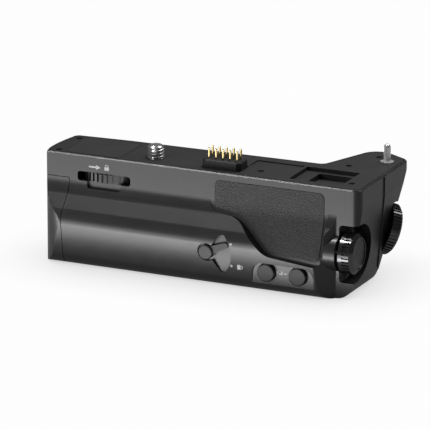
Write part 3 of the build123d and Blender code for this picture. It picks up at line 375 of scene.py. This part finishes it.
@dataclass(frozen=True)
class LacqueredBoard(Finish):
    """Circuit board: lacquer over copper tracks that run in steps."""

    track: float = 1.3
    track_spread: float = 4.0
    track_low: float = 1.5
    track_high: float = 1.7
    track_tone: float = 1.8
    track_depth: float = 0.03

    def tracks(self, graph: ShaderGraph) -> Wire:
        """1 on a track and 0 beside it."""
        cells = graph.wire(
            "ShaderNodeTexVoronoi",
            {"distance": "MANHATTAN", "feature": "F1"},
            {"Vector": graph.place(), "Scale": 1 / (self.track * MM)},
        )
        return (cells * self.track_spread).between(self.track_low, self.track_high)

    def tone(self, graph: ShaderGraph) -> Wire:
        """Paler green over the tracks."""
        return graph.blend(self.tracks(graph), self.colour, toned(self.colour, self.track_tone))

    def relief(self, graph: ShaderGraph) -> Wire:
        """Tracks stand a little proud."""
        return graph.bump(self.tracks(graph), self.track_depth)


class Finishes:
    """Every finish of the grip, each made once."""

    def __init__(self) -> None:
        """Builds the materials."""
        self.housing = SprayedPaint(
            "satin_housing", (0.024, 0.0241, 0.0246), 0.3, specular=0.6, grain=0.5
        ).make()
        self.plate = Finish(
            "matt_deck", (0.013, 0.013, 0.0135), 0.5, specular=0.4, grain=0.2, depth=0.009
        ).make()
        self.label = Finish(
            "label_field", (0.026, 0.026, 0.027), 0.42, specular=0.4, grain=0.12, depth=0.004
        ).make()
        self.rubber = LeatherRubber(
            "leather_rubber", (0.03, 0.03, 0.0305), 0.56, specular=0.38
        ).make()
        self.moulding = Finish(
            "black_moulding", (0.016, 0.016, 0.017), 0.5, specular=0.35, grain=0.25
        ).make()
        self.knob = Finish(
            "satin_knob", (0.022, 0.022, 0.023), 0.34, grain=0.2, depth=0.004
        ).make()
        self.lever_face = Finish(
            "grey_lever", (0.042, 0.042, 0.043), 0.46, specular=0.4, grain=0.2, depth=0.004
        ).make()
        self.button = Finish(
            "button_cap", (0.017, 0.017, 0.018), 0.42, specular=0.35, grain=0.2, depth=0.003
        ).make()
        self.dial_face = TurnedMetal(
            "spun_dial_face", (0.07, 0.07, 0.072), 0.24, metallic=1.0, ring_depth=0.045,
            centre=(87.2, -7.4, -25.2), axis=Axis.X,
        ).make()
        self.dial_ring = Finish(
            "anodised_dial", (0.11, 0.11, 0.113), 0.2, metallic=0.9, grain=0.15, depth=0.003
        ).make()
        self.bright = TurnedMetal(
            "bright_steel", (0.6, 0.6, 0.61), 0.27, metallic=0.9, ring=0.2
        ).make()
        self.pin = TurnedMetal(
            "polished_pin", (0.8, 0.8, 0.81), 0.22, metallic=0.6, centre=(81.9, 30.9, 0.0), ring=0.2
        ).make()
        self.steel = DrawnMetal("drawn_steel", (0.42, 0.42, 0.43), 0.3, metallic=1.0).make()
        self.black_steel = Finish(
            "blackened_screw", (0.03, 0.03, 0.031), 0.35, metallic=0.5, grain=0.2
        ).make()
        self.bronze = Finish(
            "sintered_bronze", (0.4, 0.27, 0.13), 0.45, metallic=1.0, grain=0.12, depth=0.01
        ).make()
        self.gold = Finish(
            "gold_plate", (0.78, 0.62, 0.3), 0.22, metallic=1.0, grain=0.3, depth=0.003
        ).make()
        self.board = LacqueredBoard("green_lacquer", (0.015, 0.09, 0.035), 0.35).make()
        self.ink = Finish(
            "white_ink", (0.8, 0.8, 0.8), 0.55, specular=0.3, grain=0.1, depth=0.002
        ).make()


# Meshes


def dress(material: bpy.types.Material, *nodes: str) -> None:
    """Gives CAD nodes their material.

    Args:
        material: the finish for their whole surface.
        nodes: the nodes' names.
    """
    for node in nodes:
        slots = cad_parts[node].data.materials
        slots.clear()
        slots.append(material)
        log.info("dressed %s in %s", node, material.name)


def new_piece(
    name: str,
    mesh: bmesh.types.BMesh,
    material: bpy.types.Material,
    body: str,
    smooth: bool = True,
) -> bpy.types.Object:
    """Turns a bmesh into a piece that rides on a body.

    Args:
        name: the piece's name.
        mesh: its faces in metres, in the part's frame; it is freed.
        material: its finish.
        body: the CAD body that it moves with.
        smooth: whether its faces shade smoothly.

    Returns:
        The new object.
    """
    bmesh.ops.remove_doubles(mesh, verts=mesh.verts, dist=WELD)
    bmesh.ops.recalc_face_normals(mesh, faces=mesh.faces)
    data = bpy.data.meshes.new(name)
    mesh.to_mesh(data)
    mesh.free()
    data.materials.append(material)
    for face in data.polygons:
        face.use_smooth = smooth
    piece = bpy.data.objects.new(name, data)
    bpy.context.scene.collection.objects.link(piece)
    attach(piece, body)
    log.info("made %s on %s", name, body)
    return piece


@dataclass(frozen=True)
class Thread:
    """A screw thread's helix and profile, in millimetres.

    The groove's flat and the flank's rise are shares of half the pitch.
    """

    pitch: float
    root: float
    crest: float
    flat: float = 0.16
    flank: float = 0.66

    def radius(self, height: float, turn: float) -> float:
        """Radius at a height and a share of a turn."""
        phase = (height / self.pitch - turn) % 1.0
        rise = min(phase, 1.0 - phase) * 2.0
        share = min(1.0, max(0.0, (rise - self.flat) / self.flank))
        return self.root + (self.crest - self.root) * share


@dataclass(frozen=True)
class Row:
    """One ring of a lathed mesh: its height, and its radius or a thread cut off at a limit."""

    height: float
    radius: float = 0.0
    thread: Thread | None = None
    limit: float = math.inf

    def reach(self, turn: float) -> float:
        """Radius at a share of a turn."""
        if self.thread is None:
            return self.radius
        return min(self.thread.radius(self.height, turn), self.limit)


def lathe(rows: list[Row], centre: Point, sides: int = 72) -> bmesh.types.BMesh:
    """Turns rows of radii about a vertical axis.

    Args:
        rows: rings in order along the profile.
        centre: the axis, in millimetres.
        sides: how many sides each ring has.

    Returns:
        The mesh, closed by a flat face on its first and last ring.
    """
    made = bmesh.new()
    rings = []
    for row in rows:
        ring = []
        for k in range(sides):
            reach, angle = row.reach(k / sides), FULL_TURN * k / sides
            x, y = centre[0] + reach * math.cos(angle), centre[1] + reach * math.sin(angle)
            ring.append(made.verts.new((x * MM, y * MM, row.height * MM)))
        rings.append(ring)
    for low, high in zip(rings, rings[1:]):
        for k in range(sides):
            after = (k + 1) % sides
            made.faces.new((low[k], low[after], high[after], high[k]))
    made.faces.new(rings[0])
    made.faces.new(rings[-1])
    return made


def open_foot(mesh: bmesh.types.BMesh) -> None:
    """Takes the flat face off the lower end of a lathed mesh."""
    caps = [face for face in mesh.faces if len(face.verts) > 4]
    lowest = min(caps, key=lambda cap: cap.calc_center_median().z)
    bmesh.ops.delete(mesh, geom=[lowest], context="FACES_ONLY")


# Sub-assemblies


@dataclass
class ScrewDrive:
    """The camera screw, its gear, the thumbwheel and what carries them."""

    thread: Thread = field(default_factory=lambda: Thread(1.27, 2.45, 3.175))
    thread_start: float = 0.25
    row_step: float = 0.075
    shank_radius: float = 2.0
    collar_radius: float = 3.45
    collar_foot: float = -2.5
    bevel_start: float = -0.3
    bevel_end: float = -0.05
    bevel_width: float = 0.25
    neck_radius: float = 2.6
    tip_cut: float = 0.1
    tip_slope: float = 1.1

    def camera_screw(self, finishes: Finishes) -> None:
        """Makes the screw with its real thread in place of the plain shaft."""
        low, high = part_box("camera_screw")
        foot, tip = low.z / MM, high.z / MM
        rows = [
            Row(foot, self.shank_radius),
            Row(self.collar_foot, self.shank_radius),
            Row(self.collar_foot, self.collar_radius),
            Row(self.bevel_start, self.collar_radius),
            Row(self.bevel_end, self.collar_radius - self.bevel_width),
            Row(0.0, self.neck_radius),
        ]
        count = int((tip - self.thread_start) / self.row_step)
        for k in range(count + 1):
            height = self.thread_start + (tip - self.thread_start) * k / count
            room = self.thread.root - self.tip_cut + (tip - height) * self.tip_slope
            rows.append(Row(height, thread=self.thread, limit=room))
        made = lathe(rows, (0.0, 0.0))
        piece = new_piece("threaded_screw", made, finishes.bright, "screw")
        piece.data.set_sharp_from_angle(angle=CREASE)
        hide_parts("camera_screw")

    def dress(self, finishes: Finishes) -> None:
        """Makes the screw and dresses the drive's other nodes."""
        self.camera_screw(finishes)
        dress(finishes.knob, "thumbwheel")
        dress(finishes.steel, "screw_gear", "wheel_axle", "gear_bracket")


@dataclass
class SmallScrews:
    """Cross-head screws in place of the plain heads of one node.

    The shares are of the head's radius, or of the cross where they narrow it.
    """

    node: str
    upward: bool
    head_radius: float = 1.3
    head_height: float = 0.5
    dome: float = 0.14
    flat_share: float = 0.9
    shank_share: float = 0.5
    arm: float = 0.82
    arm_half: float = 0.2
    recess: float = 0.45
    recess_share: float = 0.7
    gather: float = 3.12
    sides: int = 40

    def places(self) -> list[tuple[float, float, float, float]]:
        """Each screw's X, Y, head height and foot height, in millimetres."""
        groups: list[list[Vector]] = []
        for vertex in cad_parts[self.node].data.vertices:
            point = vertex.co / MM
            near = [g for g in groups if (g[0].xy - point.xy).length < self.gather]
            if near:
                near[0].append(point)
            else:
                groups.append([point])
        found = []
        for group in groups:
            xs, ys, zs = ([p[i] for p in group] for i in range(3))
            ends = (max(zs), min(zs)) if self.upward else (min(zs), max(zs))
            found.append(((max(xs) + min(xs)) / 2, (max(ys) + min(ys)) / 2, *ends))
        return found

    def cross(self) -> Polygon:
        """Outline of the cross recess."""
        a, h = self.arm, self.arm_half
        return [
            (a, -h), (a, h), (h, h), (h, a), (-h, a), (-h, h),
            (-a, h), (-a, -h), (-h, -h), (-h, -a), (h, -a), (h, -h),
        ]

    def head(self, made: bmesh.types.BMesh, x: float, y: float, top: float, foot: float) -> None:
        """Adds one screw: a rounded head with a cross recess, and its shank."""
        up = 1.0 if self.upward else -1.0
        rim, cross = ring_points(self.head_radius, self.sides), self.cross()

        def ring(points: Polygon, scale: float, height: float) -> list[bmesh.types.BMVert]:
            """Adds an outline, scaled about the screw's axis and raised from its top."""
            z = top + up * height
            return [
                made.verts.new(((x + u * scale) * MM, (y + v * scale) * MM, z * MM))
                for u, v in points
            ]

        def join(low: list[bmesh.types.BMVert], high: list[bmesh.types.BMVert]) -> None:
            """Joins two rings by a band of faces."""
            for k, vertex in enumerate(low):
                after = (k + 1) % len(low)
                made.faces.new((vertex, low[after], high[after], high[k]))

        outer = ring(rim, 1.0, -self.dome)
        inner = ring(rim, self.flat_share, 0.0)
        join(outer, inner)
        under = ring(rim, 1.0, -self.head_height)
        join(outer, under)
        made.faces.new(under)
        mouth = ring(cross, 1.0, 0.0)
        floor = ring(cross, self.recess_share, -self.recess)
        join(mouth, floor)
        made.faces.new(floor)
        edges = []
        for loop in (inner, mouth):
            for k, vertex in enumerate(loop):
                pair = (vertex, loop[(k + 1) % len(loop)])
                edges.append(made.edges.get(pair) or made.edges.new(pair))
        bmesh.ops.triangle_fill(made, edges=edges, use_beauty=True)
        neck = ring(rim, self.shank_share, -self.head_height)
        tail = ring(rim, self.shank_share, -abs(top - foot))
        join(neck, tail)
        made.faces.new(neck)
        made.faces.new(tail)

    def make(self, name: str, finishes: Finishes) -> None:
        """Makes all the node's screws as one piece."""
        made = bmesh.new()
        for place in self.places():
            self.head(made, *place)
        piece = new_piece(
            name, made, finishes.black_steel, "housing", smooth=False
        )
        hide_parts(self.node)


@dataclass
class TopDeck:
    """The top plate with what stands on it."""

    def dress(self, finishes: Finishes) -> None:
        """Dresses the deck's nodes and makes its screws."""
        dress(finishes.plate, "top_plate")
        dress(finishes.label, "label_plate")
        dress(finishes.moulding, "connector_base")
        dress(finishes.gold, "contact_pins")
        dress(finishes.pin, "locating_pin")
        SmallScrews("top_screws", True).make("deck_screws", finishes)


@dataclass
class TripodSocket:
    """The threaded bush in the base."""

    thread: Thread = field(default_factory=lambda: Thread(1.27, 2.6, 3.15))
    mouth_radius: float = 3.0
    outer_radius: float = 5.0
    flange_radius: float = 6.5
    flange_height: float = 1.2
    bore_depth: float = 5.8
    lead_in: float = 0.05
    row_step: float = 0.09

    def outside(self, foot: float, top: float, centre: Point) -> bmesh.types.BMesh:
        """The bush's outside, open at the mouth of its bore."""
        step = top - self.flange_height
        made = lathe(
            [
                Row(foot, self.mouth_radius),
                Row(foot, self.outer_radius),
                Row(step, self.outer_radius),
                Row(step, self.flange_radius),
                Row(top, self.flange_radius),
            ],
            centre,
        )
        open_foot(made)
        return made

    def bore(self, foot: float, centre: Point) -> bmesh.types.BMesh:
        """The threaded wall of the bore with its end, open at the mouth."""
        count = int(self.bore_depth / self.row_step)
        rows = [Row(foot, self.mouth_radius)]
        for k in range(count + 1):
            height = foot + self.lead_in + (self.bore_depth - self.lead_in) * k / count
            rows.append(Row(height, thread=self.thread))
        made = lathe(rows, centre)
        open_foot(made)
        return made

    def make(self, finishes: Finishes) -> None:
        """Makes the bush with its thread in place of the plain bore."""
        low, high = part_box("tripod_bush")
        centre = ((low.x + high.x) / 2 / MM, (low.y + high.y) / 2 / MM)
        foot, top = low.z / MM, high.z / MM
        made = self.outside(foot, top, centre)
        bore = self.bore(foot, centre)
        scratch = bpy.data.meshes.new("bore")
        bore.to_mesh(scratch)
        bore.free()
        made.from_mesh(scratch)
        bpy.data.meshes.remove(scratch)
        piece = new_piece("threaded_bush", made, finishes.steel, "housing")
        piece.data.set_sharp_from_angle(angle=CREASE)
        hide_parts("tripod_bush")


@dataclass
class PartingRib:
    """The slim rib beside the shells' parting line on the right end.

    The face's points are X and Z of the end face that the rib follows and stands proud of.
    """

    left: float = 12.75
    right: float = 13.7
    proud: float = 0.4
    sunk: float = 0.15
    face: tuple[Point, ...] = ((88.4, -0.75), (88.4, -8.0), (85.98, -36.0))

    def make(self, finishes: Finishes) -> None:
        """Makes the rib as one closed bar."""
        made = bmesh.new()
        rings = []
        for x, z in self.face:
            inner, outer = x - self.sunk, x + self.proud
            corners = [
                (inner, self.left), (outer, self.left), (outer, self.right), (inner, self.right)
            ]
            rings.append([made.verts.new((u * MM, v * MM, z * MM)) for u, v in corners])
        for upper, lower in zip(rings, rings[1:]):
            for k, vertex in enumerate(upper):
                after = (k + 1) % len(upper)
                made.faces.new((vertex, upper[after], lower[after], lower[k]))
        made.faces.new(rings[0])
        made.faces.new(rings[-1])
        new_piece("parting_rib", made, finishes.housing, "housing", smooth=False)


@dataclass
class Housing:
    """The two shells with their rubber, base screws, tripod socket and rib."""

    def dress(self, finishes: Finishes) -> None:
        """Dresses the shells and rubbers, and makes what the shells carry."""
        dress(finishes.housing, "rear_shell", "front_shell")
        dress(finishes.rubber, "thumb_rest_rubber", "hand_grip_rubber")
        SmallScrews("base_screws", False).make("sole_screws", finishes)
        TripodSocket().make(finishes)
        PartingRib().make(finishes)


@dataclass
class BatteryBay:
    """The bay, its contacts and its door."""

    def dress(self, finishes: Finishes) -> None:
        """Dresses the bay and the door."""
        dress(finishes.housing, "battery_door")
        dress(finishes.moulding, "battery_bay", "door_liner", "contact_carrier")
        dress(finishes.rubber, "door_seal")
        dress(finishes.knob, "battery_catch", "door_latch")
        dress(finishes.steel, "eject_spring", "door_hinge_pin")
        dress(finishes.gold, "battery_contacts")


@dataclass
class Controls:
    """Dials, buttons and the lock lever, with their switches and boards."""

    def dress(self, finishes: Finishes) -> None:
        """Dresses every control."""
        dress(finishes.dial_ring, "rear_dial", "front_dial")
        dress(finishes.dial_face, "rear_dial_cap")
        dress(finishes.knob, "shutter_button")
        dress(finishes.button, "button_1", "button_2")
        dress(finishes.lever_face, "lock_lever")
        dress(finishes.bronze, "rear_dial_bush")
        dress(finishes.steel, "lever_clip", "rear_dial_axle")
        dress(finishes.board, "main_board", "side_board")
        dress(
            finishes.moulding, "shutter_collar", "button_switches", "lock_switch",
            "rear_encoder", "front_encoder", "shutter_switch",
        )


# Printed signs


def ring_points(
    radius: float, sides: int = 24, start: float = 0.0, sweep: float = FULL_TURN
) -> Polygon:
    """Points round a circle or an arc of it."""
    ends = sides if sweep == FULL_TURN else sides + 1
    angles = [start + sweep * k / sides for k in range(ends)]
    return [(radius * math.cos(angle), radius * math.sin(angle)) for angle in angles]


@dataclass(frozen=True)
class Arrow:
    """An arrow that points to the right, in millimetres."""

    length: float = 5.0
    shaft_half: float = 0.32
    shaft_gap: float = 1.6
    head_length: float = 1.9
    head_half: float = 0.9

    def polygons(self) -> list[Polygon]:
        """The shaft and the head, which overlap a little."""
        tip, thick = self.length / 2, self.shaft_half
        end, back = tip - self.shaft_gap, tip - self.head_length
        return [
            [(-tip, -thick), (end, -thick), (end, thick), (-tip, thick)],
            [(back, -self.head_half), (tip, 0.0), (back, self.head_half)],
        ]


@dataclass(frozen=True)
class Padlock:
    """A closed padlock, in millimetres."""

    half_width: float = 0.95
    foot: float = -1.1
    shoulder: float = 0.25
    bow_outer: float = 0.72
    bow_inner: float = 0.44
    bow_height: float = 0.5
    bow_sides: int = 10
    leg_at: float = 0.58
    leg_half: float = 0.14
    leg_foot: float = 0.2
    leg_top: float = 0.52

    def polygons(self) -> list[Polygon]:
        """The body, the bow and its two legs, which overlap a little."""
        wide, low, high = self.half_width, self.foot, self.shoulder
        outer = ring_points(self.bow_outer, self.bow_sides, 0.0, math.pi)
        inner = ring_points(self.bow_inner, self.bow_sides, math.pi, -math.pi)
        legs = []
        for middle in (-self.leg_at, self.leg_at):
            left, right = middle - self.leg_half, middle + self.leg_half
            foot, top = self.leg_foot, self.leg_top
            legs.append([(left, foot), (right, foot), (right, top), (left, top)])
        return [
            [(-wide, low), (wide, low), (wide, high), (-wide, high)],
            [(u, v + self.bow_height) for u, v in outer + inner],
            *legs,
        ]


@dataclass
class Sign:
    """One sign's polygons, its place as X and Z in millimetres, and its turn in degrees."""

    polygons: list[Polygon]
    place: Point
    turn: float = 0.0

    def placed(self) -> list[Polygon]:
        """The polygons turned and moved to their place."""
        c, s = math.cos(math.radians(self.turn)), math.sin(math.radians(self.turn))
        x, z = self.place
        return [
            [(x + u * c - v * s, z + u * s + v * c) for u, v in polygon]
            for polygon in self.polygons
        ]


@dataclass
class PrintedSigns:
    """White signs printed on the operator's face. Places are X and Z in millimetres."""

    arrow_at: Point = (-20.9, -4.1)
    lock_at: Point = (-15.9, -3.8)
    lever_lock_at: Point = (42.6, -33.6)
    dots_at: tuple[Point, Point] = ((39.3, -24.7), (39.1, -33.5))
    dot_radius: float = 0.5
    numbers_at: tuple[tuple[str, Point], ...] = (("1", (61.4, -34.0)), ("2", (58.4, -34.0)))
    number_size: float = 3.5
    number_weight: float = 0.08
    sideways: float = -90.0
    lift: float = 0.02
    probe_y: float = -60.0
    cuts: int = 2

    def signs(self) -> list[Sign]:
        """The arrow, the padlocks, the dots and the button numbers."""
        padlock = Padlock().polygons()
        found = [
            Sign(Arrow().polygons(), self.arrow_at),
            Sign(padlock, self.lock_at),
            Sign(padlock, self.lever_lock_at, self.sideways),
        ]
        found += [Sign([ring_points(self.dot_radius)], place) for place in self.dots_at]
        found += [Sign(self.glyph(text), place, self.sideways) for text, place in self.numbers_at]
        return found

    def glyph(self, text: str) -> list[Polygon]:
        """A number's polygons, from the built-in font."""
        curve = bpy.data.curves.new("number", "FONT")
        curve.body, curve.size, curve.offset = text, self.number_size, self.number_weight
        curve.align_x, curve.align_y = "CENTER", "CENTER"
        scratch = bpy.data.objects.new("number", curve)
        mesh = bpy.data.meshes.new_from_object(scratch)
        corners = [(vertex.co.x, vertex.co.y) for vertex in mesh.vertices]
        polygons = [[corners[i] for i in face.vertices] for face in mesh.polygons]
        bpy.data.objects.remove(scratch)
        bpy.data.curves.remove(curve)
        bpy.data.meshes.remove(mesh)
        return polygons

    def make(self, finishes: Finishes) -> None:
        """Prints every sign on the shell as one piece that follows its surface."""
        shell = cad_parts["rear_shell"].data
        surface = BVHTree.FromPolygons(
            [vertex.co for vertex in shell.vertices], [tuple(p.vertices) for p in shell.polygons]
        )
        made = bmesh.new()
        for sign in self.signs():
            for polygon in sign.placed():
                made.faces.new([made.verts.new((x * MM, 0.0, z * MM)) for x, z in polygon])
        bmesh.ops.triangulate(made, faces=made.faces)
        bmesh.ops.subdivide_edges(made, edges=made.edges, cuts=self.cuts, use_grid_fill=True)
        for vertex in made.verts:
            start = Vector((vertex.co.x, self.probe_y * MM, vertex.co.z))
            hit = surface.ray_cast(start, Vector((0.0, 1.0, 0.0)))
            vertex.co.y = hit[0].y - self.lift * MM if hit[0] else 0.0
        new_piece("printed_signs", made, finishes.ink, "housing")


# Studio


def outward(azimuth: float, elevation: float) -> Vector:
    """Direction away from the grip. Azimuth is measured from -Y towards +X, in degrees."""
    a, e = math.radians(azimuth), math.radians(elevation)
    return Vector((math.sin(a) * math.cos(e), -math.cos(a) * math.cos(e), math.sin(e)))


class Effect(Enum):
    """What a lamp does: whether it lights matt surfaces, and whether reflections see it."""

    BOTH = (True, True)
    LIGHT_ONLY = (True, False)
    REFLECTION_ONLY = (False, True)


@dataclass
class SoftBox:
    """A rectangular lamp that faces the grip. Sizes are in metres."""

    name: str
    azimuth: float
    elevation: float
    radiance: float
    width: float = 1.0
    height: float = 0.6
    distance: float = 1.2
    effect: Effect = Effect.BOTH
    target: Vector = field(default_factory=lambda: Vector((0.024, 0.0, -0.02)))

    def make(self) -> None:
        """Adds the lamp."""
        back = outward(self.azimuth, self.elevation)
        lamp = bpy.data.lights.new(self.name, "AREA")
        lamp.shape, lamp.size, lamp.size_y = "RECTANGLE", self.width, self.height
        lamp.energy = self.radiance * math.pi * self.width * self.height
        holder = bpy.data.objects.new(self.name, lamp)
        holder.location = self.target + back * self.distance
        holder.rotation_euler = (-back).to_track_quat("-Z", "Y").to_euler()
        holder.visible_diffuse, holder.visible_glossy = self.effect.value
        bpy.context.scene.collection.objects.link(holder)


@dataclass
class ReflectorCard:
    """A glowing card flat on the floor that only reflections see. Sizes are in millimetres."""

    name: str
    high_y: float
    low_y: float
    radiance: float
    middle_x: float = -75.0
    width: float = 330.0
    clearance: float = 0.2

    def make(self) -> None:
        """Lays the card just over the floor, facing up."""
        depth = self.high_y - self.low_y
        lamp = bpy.data.lights.new(self.name, "AREA")
        lamp.shape, lamp.size, lamp.size_y = "RECTANGLE", self.width * MM, depth * MM
        lamp.energy = self.radiance * math.pi * self.width * depth * MM * MM
        holder = bpy.data.objects.new(self.name, lamp)
        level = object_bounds()[0].z + self.clearance * MM
        holder.location = (self.middle_x * MM, (self.high_y + self.low_y) / 2 * MM, level)
        holder.rotation_euler = (math.pi, 0.0, 0.0)
        holder.visible_camera = holder.visible_diffuse = False
        bpy.context.scene.collection.objects.link(holder)


@dataclass
class Studio:
    """Floor, world, lamps and camera. Sizes are in metres unless their names end in mm."""

    azimuth: float = 24.84
    elevation: float = 16.95
    distance: float = 2.0
    lens_mm: float = 443.2
    sensor_mm: float = 36.0
    clip_near: float = 0.05
    clip_far: float = 60.0
    aim: Vector = field(default_factory=lambda: Vector((0.0246, 0.0, -0.020)))
    floor_half: float = 9.0
    floor_drop_mm: float = 0.05
    floor_tone: float = 0.25
    seen_share: float = 0.98
    mirrored_share: float = 0.1
    # strength of the painted contact shadow that ambient occlusion puts on the floor near the grip
    painted_contact_shadow: float = 0.4
    contact_reach_mm: float = 30.0
    ambient: float = 0.08
    lamps: tuple[SoftBox | ReflectorCard, ...] = (
        SoftBox("key_box", -40.0, 22.0, 6.0, effect=Effect.LIGHT_ONLY),
        SoftBox("back_box", 165.0, 62.0, 5.5),
        SoftBox("edge_box", -69.0, 64.0, 60.0, 0.18, 0.16, effect=Effect.REFLECTION_ONLY),
        SoftBox("fill_box", 150.0, 25.0, 2.8, effect=Effect.LIGHT_ONLY),
        ReflectorCard("near_card", -36.0, -57.0, 7.5),
        ReflectorCard("far_card", -57.0, -240.0, 2.3),
        ReflectorCard("back_card", 260.0, 70.0, 2.0, middle_x=-45.0, width=230.0),
    )

    def background_rays(self, graph: ShaderGraph) -> Wire:
        """Share of plain white for camera, transmission and glossy rays; for camera and
        transmission rays it is less near the grip, a painted contact shadow from ambient occlusion.
        """
        rays = graph.node("ShaderNodeLightPath")
        camera, through, glossy = (
            Wire(graph, rays.outputs[name])
            for name in ("Is Camera Ray", "Is Transmission Ray", "Is Glossy Ray")
        )
        reach = {"Distance": self.contact_reach_mm * MM}
        open_sky = graph.wire("ShaderNodeAmbientOcclusion", inputs=reach, out="AO")
        # painted contact shadow: ambient occlusion lessens the floor's white near the grip
        clear = self.seen_share - (1.0 - open_sky) * self.painted_contact_shadow
        return ((camera + through) * clear + glossy * self.mirrored_share).at_most(1.0)

    def world(self) -> None:
        """A dim even world. The floor makes the white that the camera sees."""
        world = bpy.data.worlds.new("studio")
        bpy.context.scene.world = world
        world.use_nodes = True
        graph = ShaderGraph(world.node_tree)
        sky = {"Color": (1, 1, 1, 1), "Strength": self.ambient}
        lit = graph.wire("ShaderNodeBackground", inputs=sky)
        graph.node("ShaderNodeOutputWorld", inputs={"Surface": lit})

    def floor(self) -> None:
        """A pale floor under the grip that keeps its shadow, with a painted contact shadow near the
        grip.
        """
        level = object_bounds()[0].z - self.floor_drop_mm * MM
        half = self.floor_half
        made = bmesh.new()
        corners = [(-half, -half), (half, -half), (half, half), (-half, half)]
        made.faces.new([made.verts.new((x, y, level)) for x, y in corners])
        data = bpy.data.meshes.new("floor")
        made.to_mesh(data)
        made.free()
        material = bpy.data.materials.new("pale_floor")
        material.use_nodes = True
        graph = ShaderGraph(material.node_tree)
        tone = (self.floor_tone,) * 3 + (1,)
        matt = graph.wire("ShaderNodeBsdfDiffuse", inputs={"Color": tone})
        glow = {"Color": (1, 1, 1, 1), "Strength": 1.0}
        white = graph.wire("ShaderNodeEmission", inputs=glow)
        share = self.background_rays(graph)
        both = graph.wire("ShaderNodeMixShader", inputs={0: share, 1: matt, 2: white})
        graph.node("ShaderNodeOutputMaterial", inputs={"Surface": both})
        data.materials.append(material)
        floor = bpy.data.objects.new("floor", data)
        bpy.context.scene.collection.objects.link(floor)
        floor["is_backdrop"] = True

    def camera(self) -> None:
        """The camera at the photograph's angle."""
        back = outward(self.azimuth, self.elevation)
        data = bpy.data.cameras.new("camera")
        data.lens, data.sensor_width = self.lens_mm, self.sensor_mm
        data.clip_start, data.clip_end = self.clip_near, self.clip_far
        camera = bpy.data.objects.new("camera", data)
        camera.location = self.aim + back * self.distance
        camera.rotation_mode = "QUATERNION"
        camera.rotation_quaternion = (-back).to_track_quat("-Z", "Y")
        bpy.context.scene.collection.objects.link(camera)
        bpy.context.scene.camera = camera

    def make(self) -> None:
        """Sets up the whole studio."""
        bpy.context.scene.view_settings.view_transform = "Standard"
        self.world()
        self.floor()
        for lamp in self.lamps:
            lamp.make()
        self.camera()


def main() -> None:
    """Builds and dresses the grip, then the studio."""
    logging.basicConfig(level=logging.INFO, format="%(name)s: %(message)s")
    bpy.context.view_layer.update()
    finishes = Finishes()
    for assembly in (Housing(), TopDeck(), ScrewDrive(), BatteryBay(), Controls()):
        assembly.dress(finishes)
        log.info("finished %s", type(assembly).__name__)
    PrintedSigns().make(finishes)
    Studio().make()


if __name__ == "__main__":
    main()
